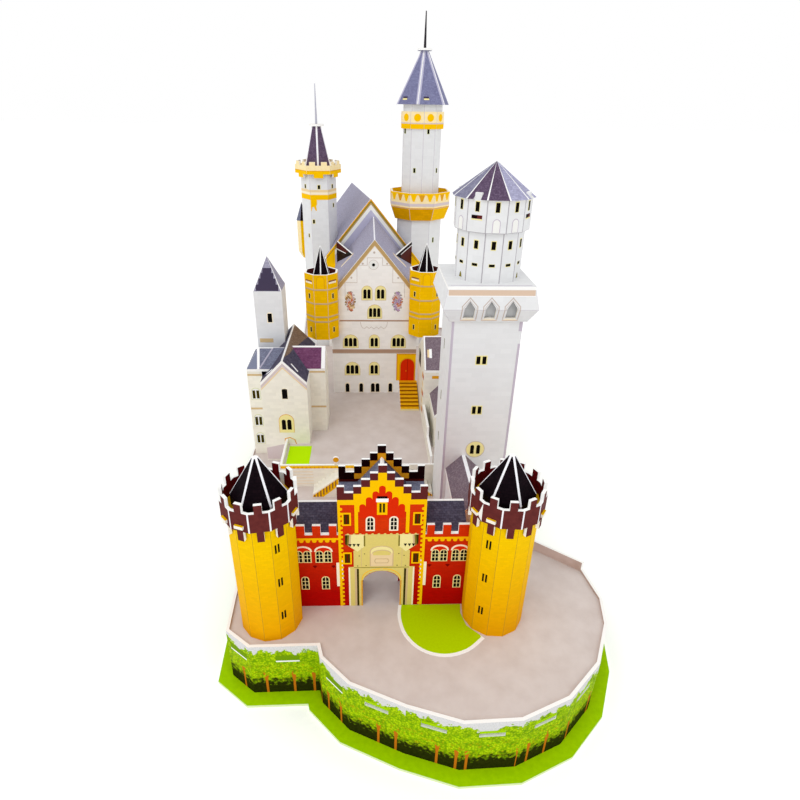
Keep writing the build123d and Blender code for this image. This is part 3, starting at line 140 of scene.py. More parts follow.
def fade_in(tree, value, low, high, top=1.0):
    """Nothing below the low mark, rising to the top amount at the high one."""
    return ramp(tree, value, [(low, grey(0.0)), (high, grey(top))])


def print_finish(tree, shader, colour, rough=0.52, relief=None):
    """Matt printed paper: fibre noise in the sheen and a very low relief."""
    fibre = noise(tree, board_uv(tree), 1.6, 4.0)
    sheen = ramp(tree, fibre, [(0.3, grey(rough - 0.06)), (0.7, grey(rough + 0.08))])
    bump = add(tree, "ShaderNodeBump", Strength=0.12, Distance=0.0001,
               Height=fibre if relief is None else relief)
    for name, value in (("Base Color", colour), ("Roughness", sheen), ("Normal", bump.outputs[0]),
                        ("Specular IOR Level", 0.02)):
        put(tree, shader.inputs[name], value)


def cloudy(name, colour, shade, blotch, scale):
    """Linear colour that runs to another in patches."""
    material, tree, shader = start(name)
    patches = fade_in(tree, noise(tree, board_uv(tree), scale), 0.35, 0.75, blotch)
    print_finish(tree, shader, mix(tree, patches, colour, shade))
    return material


def plain_print(name, colour, shade, blotch=0.5, scale=0.35):
    """Flat printed colour with slight unevenness."""
    return cloudy(name, srgb(*colour), srgb(*shade), blotch, scale)


def ink(name, red, green, blue, fade=0.86, blotch=0.5):
    """Printed colour that runs a little darker in patches."""
    colour = srgb(red, green, blue)
    return cloudy(name, colour, scaled(colour, fade), blotch, 0.9)


def masonry(name, colour, joint, width, height, strength, blotch, gap=0.18, foot=None):
    """Printed stonework; foot is another colour below and the heights it changes between."""
    material, tree, shader = start(name)
    uv = board_uv(tree)
    colour, joint = srgb(*colour), srgb(*joint)
    brick = add(tree, "ShaderNodeTexBrick", Vector=uv, Scale=1.0, Brick_Width=width,
                Row_Height=height, Mortar_Size=gap, Mortar_Smooth=0.6, Color1=grey(1.0),
                Color2=grey(1 - blotch), Mortar=grey(1.0))
    if foot:
        low_colour, low, high = foot
        colour = mix(tree, climb(tree, low, high), srgb(*low_colour), colour)
    patches = fade_in(tree, noise(tree, uv, 0.22), 0.3, 0.8, blotch)
    toned = mix(tree, patches, colour, joint)
    blocks = mix(tree, 1.0, toned, brick.outputs["Color"], "MULTIPLY")
    joints = compute(tree, "MULTIPLY", brick.outputs["Fac"], strength)
    print_finish(tree, shader, mix(tree, joints, blocks, joint))
    return material


HEDGE_FOOT = -36.2


def hedge(name, top):
    """Printed hill wall: stone edging on top, tree crowns below it, trunks before a dark foot."""
    material, tree, shader = start(name)
    uv = board_uv(tree)
    along = add(tree, "ShaderNodeSeparateXYZ", Vector=uv).outputs[0]
    level = climb(tree, HEDGE_FOOT, top, clamp=False)

    def rows(pitch):
        return add(tree, "ShaderNodeTexVoronoi", voronoi_dimensions="1D", Scale=1.0,
                   W=compute(tree, "MULTIPLY", along, 1 / pitch)).outputs["Distance"]

    rough = compute(tree, "SUBTRACT", noise(tree, uv, 0.42, 4.0), 0.5)
    crowns = compute(tree, "MULTIPLY_ADD", rows(13.0), 0.2, level)
    rim = compute(tree, "MULTIPLY_ADD", rough, 0.3, crowns)
    foot = compute(tree, "MULTIPLY_ADD", rough, 0.5, level)
    leaves = add(tree, "ShaderNodeTexVoronoi", Vector=uv, Scale=0.9)
    green = ramp(tree, leaves.outputs["Distance"], [
        (0.0, srgb(212, 234, 40)), (0.3, srgb(178, 212, 4)), (0.8, srgb(118, 166, 0))])
    shade = fade_in(tree, noise(tree, uv, 0.24, 5.0), 0.45, 0.68, 0.6)
    foliage = mix(tree, shade, green, srgb(88, 128, 0))
    autumn = compute(tree, "MULTIPLY", compute(tree, "LESS_THAN", level, 0.62),
                     fade_in(tree, noise(tree, uv, 0.5, 4.0), 0.55, 0.68, 0.5))
    foliage = mix(tree, autumn, foliage, srgb(206, 146, 10))
    dark = mix(tree, noise(tree, uv, 0.6, 4.0), srgb(6, 10, 2), srgb(54, 60, 12))
    body = mix(tree, fade_in(tree, foot, 0.22, 0.36), dark, foliage)
    above = compute(tree, "MAXIMUM", compute(tree, "SUBTRACT", level, 0.26), 0.0)
    spread = compute(tree, "MULTIPLY_ADD", above, 0.3, 0.045)
    trunk = compute(tree, "LESS_THAN", rows(15.0), spread)
    broken = compute(tree, "MULTIPLY", trunk, compute(tree, "LESS_THAN", foot, 0.4))
    body = mix(tree, broken, body, srgb(196, 112, 20))
    stone = mix(tree, noise(tree, uv, 1.2, 3.0), srgb(188, 188, 190), srgb(240, 240, 240))
    print_finish(tree, shader, mix(tree, fade_in(tree, rim, 0.93, 0.945), body, stone), 0.5)
    return material


def slate(name, colour, dark, row=1.5, blotch=0.6):
    """Printed roof: short rows of slates in mixed tones."""
    material, tree, shader = start(name)
    uv = board_uv(tree)
    colour, dark = srgb(*colour), srgb(*dark)
    between = tuple(0.4 * light + 0.6 * deep for light, deep in zip(colour, dark))
    brick = add(tree, "ShaderNodeTexBrick", Vector=uv, Scale=1.0, Brick_Width=row * 1.4,
                Row_Height=row, Mortar_Size=0.12, Mortar_Smooth=0.8, Color1=colour,
                Color2=between, Mortar=dark)
    patches = fade_in(tree, noise(tree, uv, 0.2, 5.0, 0.7), 0.38, 0.68, blotch)
    toned = mix(tree, patches, brick.outputs["Color"], dark)
    specks = fade_in(tree, noise(tree, uv, 0.8, 2.0), 0.5, 0.74, 0.5)
    light = tuple(min(1.6 * value, 1.0) for value in colour)
    print_finish(tree, shader, mix(tree, specks, toned, light), 0.5)
    return material


def foam_edge(name, colour):
    """Cut edge of foam board: fine cells, each pitted in its middle and darkened there as painted
    shade.
    """
    material, tree, shader = start(name)
    colour = srgb(*colour)
    cells = add(tree, "ShaderNodeTexVoronoi", Vector=board_uv(tree), Scale=4.0).outputs["Distance"]
    # the cell middles are pits in the relief, and their darker tone is painted shade
    tone = ramp(tree, cells, [(0.0, scaled(colour, 0.93)), (0.4, colour)])
    print_finish(tree, shader, tone, 0.62, cells)
    return material


WHITE_EDGE = foam_edge("foam_cut_edge", (250, 250, 248))
CREAM_EDGE = foam_edge("foam_cut_edge_cream", (244, 240, 228))
LAWN = plain_print("lawn_print", (168, 214, 0), (140, 190, 0))
LAWN_EDGE = foam_edge("foam_cut_edge_lawn", (225, 240, 190))
COURT = plain_print("court_print", (215, 205, 201), (196, 182, 176), 0.6, 0.08)
PARAPET = plain_print("parapet_print", (212, 192, 186), (150, 118, 92), 0.7, 0.06)
HEDGE = hedge("hedge_print", 1.7)
RIGHT_HEDGE = hedge("right_hedge_print", 7.0)
REAR_HEDGE = hedge("rear_hedge_print", 17.2)
BOARD_BACK = plain_print("board_back", (232, 226, 214), (215, 205, 190))
RED_GATE = masonry("gate_red_print", (224, 58, 10), (140, 12, 6), 3.2, 1.3, 0.25, 0.14, 0.14,
                   ((186, 6, 2), 10, 62))
YELLOW_TOWER = masonry("tower_yellow_print", (250, 208, 0), (220, 158, 0), 3.2, 1.5, 0.3, 0.08,
                       0.16, ((238, 164, 0), 0, 80))
WHITE_WALL = masonry("white_stone_print", (230, 231, 232), (214, 213, 219), 6.5, 3.2, 0.2, 0.05)
CREAM_WALL = masonry("cream_stone_print", (245, 242, 230), (222, 217, 202), 5.5, 2.8, 0.22, 0.08)
PALACE_WALL = masonry("palace_stone_print", (247, 245, 242), (228, 220, 214), 6.0, 3.0, 0.22,
                      0.06)
YELLOW_WALL = masonry("yellow_stone_print", (250, 196, 0), (222, 150, 10), 5.0, 2.6, 0.35, 0.08,
                      0.2)
# darker gold for the downward faces under the tall tower's gallery: painted shade
GOLD_SHADE_WALL = masonry("gold_stone_painted_shade", (234, 170, 0), (186, 122, 0), 4.0, 2.4, 0.35, 0.14, 0.2)
CREAM_PAPER = plain_print("cream_paper", (252, 234, 184), (246, 214, 150))
MAROON = plain_print("maroon_print", (104, 46, 44), (70, 26, 30))
SLATE = slate("slate_print", (92, 88, 108), (50, 46, 62))
BLUE_SLATE = slate("blue_slate_print", (128, 132, 152), (92, 94, 116))
LAVENDER = slate("lavender_slate_print", (168, 166, 186), (140, 136, 156), 1.3, 0.4)
PALE_SLATE = slate("pale_slate_print", (178, 178, 204), (142, 140, 170), 1.3, 0.5)
PERIWINKLE = slate("periwinkle_slate_print", (134, 136, 170), (104, 104, 138), 1.2, 0.5)
PURPLE = slate("purple_slate_print", (132, 82, 116), (88, 46, 80), 1.2, 0.6)
# storm slate serves only as painted shade on facets of the keep roof
STORM_SHADE = slate("storm_slate_painted_shade", (142, 142, 164), (110, 108, 132), 1.2, 0.5)
# dusk slate is the side tower roof's print, and painted shade on facets of the keep roof
DUSK = slate("dusk_slate_print_and_painted_shade", (108, 92, 116), (74, 56, 80), 1.2, 0.6)
GREY_ROOF = slate("grey_purple_slate_print", (140, 126, 134), (100, 84, 96), 0.9, 0.6)
BROWN_ROOF = slate("brown_slate_print", (142, 122, 106), (98, 78, 66), 1.2, 0.6)
SPIRE = slate("dark_spire_print", (26, 14, 20), (6, 4, 8), 1.6, 0.7)
# near black for the upright faces of the front roof's side fins: painted shade
FIN_SHADE = plain_print("fin_painted_shade", (14, 8, 10), (4, 2, 4), 0.9)
PIN = plain_print("pin_print", (52, 48, 52), (30, 26, 30))
PALE_PIN = plain_print("pale_pin_print", (188, 188, 202), (160, 160, 178))
WHITE_FOLD = plain_print("white_fold_line", (246, 246, 250), (230, 230, 238))
STONE_FOLD = plain_print("stone_fold_line", (176, 172, 178), (150, 144, 152))
GREY_FOLD = plain_print("grey_fold_line", (205, 200, 208), (190, 184, 194))
YELLOW = plain_print("yellow_print", (252, 200, 0), (236, 176, 0))
STEP_YELLOW = plain_print("step_yellow_print", (244, 186, 20), (206, 146, 16))
OLIVE_FOLD = plain_print("olive_fold_line", (176, 140, 40), (150, 120, 40))
MAROON_INSIDE = plain_print("maroon_inside_print", (112, 16, 22), (54, 6, 8), 0.8)

BLACK_INK = ink("black_ink", 14, 10, 8, 0.4)
OLIVE_INK = ink("dark_olive_ink", 62, 54, 6, 0.6)
LIGHT_OLIVE_INK = ink("olive_ink", 128, 118, 40)
RED_INK = ink("red_ink", 222, 44, 6, 0.85)
DEEP_RED_INK = ink("deep_red_ink", 120, 4, 4)
MAROON_INK = ink("maroon_ink", 96, 38, 38, 0.7)
CAP_INK = ink("dark_cap_ink", 24, 4, 6, 0.5)
YELLOW_INK = ink("yellow_ink", 252, 196, 0, 0.9)
GOLD_INK = ink("gold_ink", 226, 160, 30)
CREAM_INK = ink("cream_ink", 244, 232, 162, 0.93)
PORTAL_INK = ink("portal_ink", 226, 208, 118, 0.86)
PALE_INK = ink("pale_cream_ink", 252, 240, 214, 0.95)
WHITE_INK = ink("white_ink", 250, 250, 250, 0.97)
BROWN_INK = ink("brown_band_ink", 178, 146, 124, 0.9)
SAND_INK = ink("sand_band_ink", 216, 190, 168, 0.94)
STONE_INK = ink("stone_ink", 238, 238, 234, 0.97)
SLATE_INK = ink("slate_ink", 70, 62, 84, 0.75)
BLUE_INK = ink("blue_slate_ink", 128, 134, 156, 0.85)
LAVENDER_INK = ink("lavender_ink", 176, 172, 190, 0.9)
RUST_INK = ink("rust_ink", 150, 98, 60, 0.85)
FIN_INK = ink("fin_ink", 74, 18, 14, 0.7)
RISER_INK = ink("riser_ink", 150, 92, 6, 0.8)
PINK_INK = ink("pink_grey_ink", 214, 200, 202, 0.94)
MOSS_INK = ink("moss_ink", 210, 214, 150, 0.95)
PALE_SLATE_INK = ink("pale_slate_ink", 186, 184, 208, 0.95)
TAN_INK = ink("tan_ink", 214, 186, 140, 0.9)
VERGE_INK = ink("verge_ink", 190, 158, 106, 0.85)
LINE_INK = ink("grey_line_ink", 200, 186, 176, 0.9)
# green of a slot's tab, darkened with painted shade
VIOLET_INK = ink("violet_grey_ink", 196, 186, 200, 0.92)
SLOT_SHADE_INK = ink("slot_green_and_shade_ink", 116, 156, 6, 0.8)
GREEN_INK = ink("fresh_lawn_ink", 178, 214, 0, 0.86, 0.6)
BRIGHT_GREEN_INK = ink("bright_lawn_ink", 186, 236, 0, 0.94)
BEIGE_INK = ink("beige_ink", 238, 212, 164, 0.92)
ROSE_INK = ink("rose_ink", 196, 92, 76, 0.8)
LILAC_INK = ink("lilac_ink", 168, 130, 190, 0.85)


# Dressed copies of the CAD nodes

# Upright axes, each as x and y: those of the towers, and points inside the hill
LEFT_TOWER, RIGHT_TOWER = (-62.8, -7.2), (64.3, -6.7)
KEEP, DRUM = (62.65, 92.35), (63.6, 92.35)
TALL_TOWER, SIDE_TOWER, BACK_TOWER = (48, 397), (-58.6, 386), (-88.7, 216.75)
FACADE_Y = 248.3
LEFT_TURRET, RIGHT_TURRET = (-48.2, FACADE_Y), (43.2, FACADE_Y)
HILL, RIGHT_HILL, LEFT_HILL = (0, 250), (50, 8), (-40, 120)

# Folded cones: foot height and radius, head height and radius, sides, turn in degrees
TALL_CONE = (264.0, 27.9, 310.0, 3.9, 6, 14.5)
SIDE_CONE = (207.8, 14.8, 243.6, 5.4, 6, 35)

MERGE_DISTANCE = 0.002 * MM
FLAT_ANGLE, FOLD_ANGLE = math.radians(0.6), math.radians(4)     # merged faces, and folds drawn
BOARD = 1.8
SKIN, EDGE, INNER, FOLD, SPECIAL = range(5)                     # material numbers of a dressed mesh

# Heights where the colours of a tower change
TALL_GALLERY_FLOOR, TALL_RINGS, REAR_CONE_FOOT = 165, (242.5, 257.7), 133.5


def tangent_frame(normal):
    """Directions along a face and up it."""
    if abs(normal.z) > 0.985:
        return Vector((1, 0, 0)), Vector((0, 1, 0))
    along = Vector((0, 0, 1)).cross(normal).normalized()
    return along, normal.cross(along).normalized()


def write_uv(mesh_tree):
    layer = mesh_tree.loops.layers.uv.get("board") or mesh_tree.loops.layers.uv.new("board")
    for face in mesh_tree.faces:
        along, up = tangent_frame(face.normal)
        for corner in face.loops:
            point = corner.vert.co
            corner[layer].uv = (point.dot(along) / MM, point.dot(up) / MM)


def face_width(face):
    """Area over half the perimeter in millimetres: near the true width of a long strip."""
    return face.calc_area() / (face.calc_perimeter() / 2) / MM


def outward(face, axis):
    """Whether a face looks up, or away from an upright axis."""
    if axis == "up":
        return face.normal.z > -0.05
    centre, middle = face.calc_center_median(), place(*axis, 0)
    away = Vector((centre.x - middle.x, centre.y - middle.y, 0))
    return face.normal.dot(away) > 0


def find_folds(tree, limit, level_folds):
    """Edges to draw as folds: those between two printed faces that meet at an angle."""
    printed = {face for face in tree.faces
               if face.material_index not in (EDGE, INNER) and face_width(face) > limit}
    return [line for line in tree.edges if len(line.link_faces) == 2
            and all(face in printed for face in line.link_faces)
            and (line.is_convex or all(face.material_index == SKIN for face in line.link_faces))
            and line.calc_face_angle(0) > FOLD_ANGLE
            and (level_folds or abs(line.verts[0].co.z - line.verts[1].co.z) > MM)]


def add_piece(name, mesh):
    """Object of one mesh that rides the body."""
    piece = bpy.data.objects.new(name, mesh)
    bpy.context.scene.collection.objects.link(piece)
    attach(piece, "root")
    return piece


def dress(node, skin, edge, inner=None, axis=None, fold=None, fold_width=0.25, limit=2.2,
          special=(), level_folds=True, build=None):
    """Copy of a CAD node with its printed faces, plain inner faces, cut edges and fold lines.

    Faces narrower than the limit are cut edges. Each entry of special is a test and a material.
    """
    tree = bmesh.new()
    if build:
        build(tree)
        bmesh.ops.recalc_face_normals(tree, faces=tree.faces)
    else:
        tree.from_mesh(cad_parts[node].data)
    bmesh.ops.remove_doubles(tree, verts=tree.verts, dist=MERGE_DISTANCE)
    bmesh.ops.dissolve_limit(tree, angle_limit=FLAT_ANGLE, verts=tree.verts, edges=tree.edges)
    for face in tree.faces:
        face.normal_update()
        if face_width(face) < limit:
            face.material_index = EDGE
        elif axis is not None and not outward(face, axis):
            face.material_index = INNER
        else:
            face.material_index = SKIN
        for number, (test, _) in enumerate(special):
            if test(face):
                face.material_index = SPECIAL + number
                break
    if fold is not None:
        bmesh.ops.bevel(tree, geom=find_folds(tree, limit, level_folds), offset=fold_width * MM,
                        segments=1, profile=0.5, affect="EDGES", material=FOLD,
                        clamp_overlap=True)
    bmesh.ops.triangulate(tree, faces=[face for face in tree.faces if len(face.verts) > 4])
    write_uv(tree)
    mesh = bpy.data.meshes.new(node + "_dressed")
    tree.to_mesh(mesh)
    tree.free()
    for material in [skin, edge, inner or skin, fold or skin] + [entry[1] for entry in special]:
        mesh.materials.append(material)
    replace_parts(add_piece(node + "_dressed", mesh), node)


def plain(skin, *nodes):
    """Nodes with one print on every side and white cut edges."""
    for node in nodes:
        dress(node, skin, WHITE_EDGE)


def roof(node, skin, fold_width=0.4, limit=3.2, **more):
    """Folded roof with a bare underside and white fold lines."""
    dress(node, skin, WHITE_EDGE, BOARD_BACK, "up", WHITE_FOLD, fold_width, limit, **more)


def tube(node, skin, axis, fold=None, fold_width=0.3, inner=BOARD_BACK, **more):
    """Wall or cone around an axis, printed outside."""
    dress(node, skin, WHITE_EDGE, inner, axis, fold, fold_width, **more)


def z_of(face):
    return face.calc_center_median().z / MM - ORIGIN_Z


def side_is(sides, turn, *numbers):
    """Test for the numbered sides of a folded tube or cone; side 0 looks to the front."""
    def test(face):
        angle = math.degrees(math.atan2(face.normal.y, face.normal.x)) + 90 - turn
        number = round(angle * sides / 360) % sides
        return face.material_index == SKIN and number in numbers and abs(face.normal.z) < 0.98
    return test


def stack(tree, centre, levels, sides, turn=0, closed=False):
    """Skin through rings of the given radius and height, capped unless it closes on itself."""
    loops = []
    for radius, height in levels:
        corners = []
        for number in range(sides):
            angle = math.radians(-90 + turn + (number + 0.5) * 360 / sides)
            corners.append(tree.verts.new(place(centre[0] + radius * math.cos(angle),
                                                centre[1] + radius * math.sin(angle), height)))
        loops.append(corners)
    for low, high in zip(loops, loops[1:] + (loops[:1] if closed else [])):
        for number in range(sides):
            after = (number + 1) % sides
            tree.faces.new([low[number], low[after], high[after], high[number]])
    if not closed:
        tree.faces.new(loops[0][::-1])
        tree.faces.new(loops[-1])


def cone_with_pin(tree, centre, cone, inner, disc, pin, tip):
    """Folded cone of board with a disc on its head and a round pin on the disc."""
    foot, foot_radius, head, head_radius, sides, turn = cone
    disc_top = head + BOARD
    stack(tree, centre, [(foot_radius, foot), (head_radius, head), (inner[1], head),
                         (inner[0], foot)], sides, turn, True)
    stack(tree, centre, [(disc, head), (disc, disc_top)], 32)
    stack(tree, centre, [(pin[0], disc_top), (pin[1], tip)], 16)


def tall_roof(tree):
    cone_with_pin(tree, TALL_TOWER, TALL_CONE, (25.4, 1.8), 7.2, (1.3, 0.5), 342.0)


def side_roof(tree):
    cone_with_pin(tree, SIDE_TOWER, SIDE_CONE, (12.4, 3.2), 7.4, (1.1, 0.35), 280.7)


def gate_roof(tree):
    """Folded roof between the two gate gables: steep near the ridge and level at the sides."""
    half = [(0, 92.5), (13.7, 76.2), (24.0, 76.2)]
    thick = 1.9
    outline = half + [(x, z - thick) for x, z in reversed(half)]
    for sign in (-1, 1):
        rings = [[tree.verts.new(place(sign * x, y, z)) for x, z in outline] for y in (1.9, 18.8)]
        tree.faces.new(rings[0])
        tree.faces.new(rings[1])
        for number in range(len(outline) - 1):
            tree.faces.new([rings[0][number], rings[1][number], rings[1][number + 1],
                            rings[0][number + 1]])


def dress_all():
    dress("base_board", LAWN, LAWN_EDGE)
    dress("hidden_floor", LAWN, LAWN)
    for side, skin, axis in (("front", HEDGE, RIGHT_HILL), ("right", RIGHT_HEDGE, RIGHT_HILL),
                             ("left", HEDGE, LEFT_HILL), ("rear", REAR_HEDGE, HILL)):
        tube("outer_wall_" + side, skin, axis, inner=PARAPET)
    plain(COURT, "front_court_floor", "upper_court_floor")
    plain(RED_GATE, "gate_front_wall", "gate_rear_wall")
    plain(WHITE_WALL, "keep_top_plate", "link_house_walls")
    plain(CREAM_WALL, "retaining_wall", "low_wing_walls", "range_walls", "left_house_walls")
    plain(PALACE_WALL, "palace_front_walls", "palace_upper_gable", "palace_rear_walls")
    dress("terrace_stairs", CREAM_WALL, CREAM_WALL)
    dress("entrance_stairs", STEP_YELLOW, STEP_YELLOW, special=[
        (lambda face: abs(face.normal.x) > 0.5, WHITE_EDGE)])
    # the gate roof's steep slope that looks right is a darker slate than the left one: painted shade
    dress("gate_roof", BLUE_SLATE, WHITE_EDGE, BOARD_BACK, "up", limit=3.4, build=gate_roof,
          special=[(lambda face: face.normal.x > 0.3 and face.normal.z > 0.3, SLATE)])
    for side, tower, turret in (("left", LEFT_TOWER, LEFT_TURRET),
                                ("right", RIGHT_TOWER, RIGHT_TURRET)):
        tube("wing_roof_" + side, SLATE, "up", limit=2.3)
        tube("tower_shaft_" + side, YELLOW_TOWER, tower, OLIVE_FOLD, 0.12, level_folds=False)
        tube("tower_crown_" + side, MAROON, tower, WHITE_FOLD, 0.42, MAROON_INSIDE,
             level_folds=False)
        dress("tower_disc_" + side, YELLOW, CREAM_EDGE)
        tube("tower_spire_" + side, SPIRE, tower, WHITE_FOLD, 0.65, level_folds=False)
        tube("turret_body_" + side, YELLOW_WALL, turret, GREY_FOLD, 0.2, MAROON)
        tube("turret_cone_" + side, SPIRE, turret)
    tube("keep_shaft", WHITE_WALL, KEEP, GREY_FOLD)
    dress("keep_head", WHITE_WALL, CREAM_EDGE, WHITE_WALL, KEEP, GREY_FOLD, 0.15, 1.95)
    tube("keep_drum", WHITE_WALL, DRUM, STONE_FOLD, 0.32)
    tube("keep_lantern", WHITE_WALL, DRUM, STONE_FOLD)
    # darker slates on the keep roof's facets that look front and left: painted shade, facet by facet
    tube("keep_roof", PALE_SLATE, "up", special=[
        (side_is(12, -4, 11, 0), DUSK), (side_is(12, -4, 8, 9, 10), STORM_SHADE)])
    roof("link_house_roof", GREY_ROOF, 1.7, 3.0)
    roof("low_wing_roof", GREY_ROOF, limit=3.0)
    roof("range_roof", GREY_ROOF, limit=3.0)
    # the front roof's upright faces, its side fins, are near black: painted shade
    roof("palace_front_roof", LAVENDER, 0.9, special=[
        (lambda face: abs(face.normal.z) < 0.05 and face_width(face) > 5, FIN_SHADE)])
    roof("palace_rear_roof", LAVENDER)
    roof("left_house_roof", SLATE)
    roof("house_wing_roof", PURPLE, 0.6)
    roof("annex_roof", BLUE_SLATE)
    tube("back_tower_walls", WHITE_WALL, BACK_TOWER)
    tube("back_tower_roof", LAVENDER, "up")
    tube("tall_tower_lower", WHITE_WALL, TALL_TOWER, GREY_FOLD)
    # under the gallery floor, faces that look right are yellow and downward ones darker gold: painted
    # light and shade
    dress("tall_tower_gallery", CREAM_PAPER, CREAM_EDGE, YELLOW_WALL, TALL_TOWER, GREY_FOLD, 0.2,
          special=[(lambda face: z_of(face) < TALL_GALLERY_FLOOR and face.normal.x > 0.5, YELLOW_WALL),
                   (lambda face: z_of(face) < TALL_GALLERY_FLOOR and face.normal.z < -0.1, GOLD_SHADE_WALL)])
    tube("tall_tower_upper", WHITE_WALL, TALL_TOWER, GREY_FOLD, special=[
        (lambda face: TALL_RINGS[0] < z_of(face) < TALL_RINGS[1] and outward(face, TALL_TOWER),
         CREAM_PAPER)])
    tube("tall_tower_roof", PERIWINKLE, TALL_TOWER, WHITE_FOLD, 0.6, build=tall_roof,
         special=[(lambda face: z_of(face) > TALL_CONE[2] + 2, PIN)])
    tube("side_tower_shaft", WHITE_WALL, SIDE_TOWER, GREY_FOLD)
    dress("side_tower_gallery", CREAM_PAPER, CREAM_EDGE, YELLOW_WALL, SIDE_TOWER)
    tube("side_tower_roof", DUSK, SIDE_TOWER, WHITE_FOLD, 1.0, build=side_roof,
         special=[(lambda face: z_of(face) > SIDE_CONE[2] + 2.4, PALE_PIN)])
    # faces of the rear turret that look left are lighter, blue slate on the cone and cream on the
    # body, against black and yellow elsewhere: painted light and shade
    dress("rear_turret", YELLOW_WALL, WHITE_EDGE, fold=GREY_FOLD, fold_width=0.15, limit=1.0,
          special=[(lambda face: z_of(face) > REAR_CONE_FOOT and face.normal.x < -0.3,
                    BLUE_SLATE),
                   (lambda face: z_of(face) > REAR_CONE_FOOT, SPIRE),
                   (lambda face: face.normal.x < -0.3, CREAM_PAPER)])


dress_all()


# Prints and glued pieces on flat faces

# Depths of the wall faces with prints, from front to back, and the height of the upper court
GATE_REAR_Y, GATE_BACK_Y, KEEP_Y, STAIRS_Y, TERRACE_Y = 18.9, 20.7, 71.4, 104.5, 117.9
HOUSE_Y, ANNEX_Y, WING_Y, RANGE_Y, BACK_TOWER_Y = 155.5, 165.5, 177.0, 188.4, 205.5
UPPER_GABLE_Y = 366.6
COURT_Z = 15.5

# Folded tubes: centre, radius, sides, turn in degrees
LANTERN_TUBE, DRUM_TUBE = (DRUM, 21.9, 12, -4), (DRUM, 19.5, 12, -4)
SIDE_TUBE, SIDE_GALLERY_TUBE = (SIDE_TOWER, 18.2, 6, 5), (SIDE_TOWER, 23.5, 6, 5)
TALL_TUBE, TALL_RING_TUBE = (TALL_TOWER, 20.2, 10, 18), (TALL_TOWER, 22.1, 10, 18)
TALL_FOOT_TUBE, TALL_GALLERY_TUBE = (TALL_TOWER, 25.0, 8, 0), (TALL_TOWER, 33.3, 8, 0)

LIFT, LAYER = 0.08, 0.05      # height of the lowest print over its face, and of each one above it
STEP = 0.006                  # and a little more from one print to the next, so that none coincide
SHEETS = []


class Sheet:
    """Thin shapes on flat faces of a node, drawn in millimetres along the face and up it."""

    def __init__(self, name, node, origin=(0, 0, 0), along=(1, 0, 0), up=(0, 0, 1)):
        self.name = name
        self.node = node
        self.mirror = False
        self.flat = []
        self.corners = []
        self.faces = []
        self.skins = []
        self.numbers = []
        self.count = 0
        self.move(origin, along, up)
        SHEETS.append(self)

    def move(self, origin, along=(1, 0, 0), up=(0, 0, 1)):
        """Go on with another face, given by its origin and its two directions."""
        self.origin = place(*origin)
        self.along = Vector(along).normalized()
        self.up = Vector(up).normalized()
        self.out = self.along.cross(self.up)

    def shape(self, outline, skin, layer=0):
        """One thin shape, and its mirror image too while mirror is set."""
        area = sum(a[0] * b[1] - b[0] * a[1] for a, b in zip(outline, outline[1:] + outline[:1]))
        ring = outline if area > 0 else outline[::-1]
        self.add_prism(ring, skin, layer)
        if self.mirror:
            self.add_prism([(-u, v) for u, v in reversed(ring)], skin, layer)

    def add_prism(self, ring, skin, layer):
        if skin not in self.skins:
            self.skins.append(skin)
        first, count = len(self.flat), len(ring)
        self.count += 1
        for lift in (0.0, LIFT + LAYER * layer + STEP * (self.count % 8)):
            self.flat += ring
            self.corners += [self.origin + (self.along * u + self.up * v + self.out * lift) * MM
                             for u, v in ring]
        self.faces.append([first + number for number in reversed(range(count))])
        self.faces.append([first + count + number for number in range(count)])
        for number in range(count):
            after = (number + 1) % count
            self.faces.append([first + number, first + after, first + count + after,
                               first + count + number])
        self.numbers += [self.skins.index(skin)] * (count + 2)

    def rect(self, x0, x1, z0, z1, skin, layer=0):
        self.shape([(x0, z0), (x1, z0), (x1, z1), (x0, z1)], skin, layer)

    def arch(self, x0, x1, z0, z1, skin, layer=0, rise=None):
        half, middle = (x1 - x0) / 2, (x0 + x1) / 2
        rise = half if rise is None else rise
        bow = [math.pi * number / 8 for number in range(9)]
        head = [(middle + half * math.cos(turn), z1 - rise + rise * math.sin(turn)) for turn in bow]
        self.shape([(x0, z0), (x1, z0)] + head, skin, layer)

    def disc(self, x, z, radius, skin, layer=0, sides=16):
        turns = [math.tau * number / sides for number in range(sides)]
        self.shape([(x + radius * math.cos(turn), z + radius * math.sin(turn)) for turn in turns],
                   skin, layer)

    def line(self, points, width, skin, layer=0):
        for (ax, az), (bx, bz) in zip(points, points[1:]):
            length = math.hypot(bx - ax, bz - az)
            dx, dz = (bx - ax) / length * width / 2, (bz - az) / length * width / 2
            self.shape([(ax - dx + dz, az - dz - dx), (bx + dx + dz, bz + dz - dx),
                        (bx + dx - dz, bz + dz + dx), (ax - dx - dz, az - dz + dx)], skin, layer)

    def slit(self, outer, inner, skin, layer=0):
        """Dark opening in a light frame, each given as x0, x1, z0, z1."""
        self.rect(*outer, skin, layer)
        self.rect(*inner, BLACK_INK, layer + 1)

    def finish(self):
        """Make one piece of all the shapes drawn."""
        mesh = bpy.data.meshes.new(self.name)
        mesh.from_pydata(self.corners, [], self.faces)
        for skin in self.skins:
            mesh.materials.append(skin)
        layer = mesh.uv_layers.new(name="board")
        for face, number in zip(mesh.polygons, self.numbers):
            face.material_index = number
            for corner in face.loop_indices:
                layer.data[corner].uv = self.flat[mesh.loops[corner].vertex_index]
        add_piece(self.name, mesh)


def around(x, z, half_width, half_height):
    """Rectangle about a point, as x0, x1, z0, z1."""
    return x - half_width, x + half_width, z - half_height, z + half_height


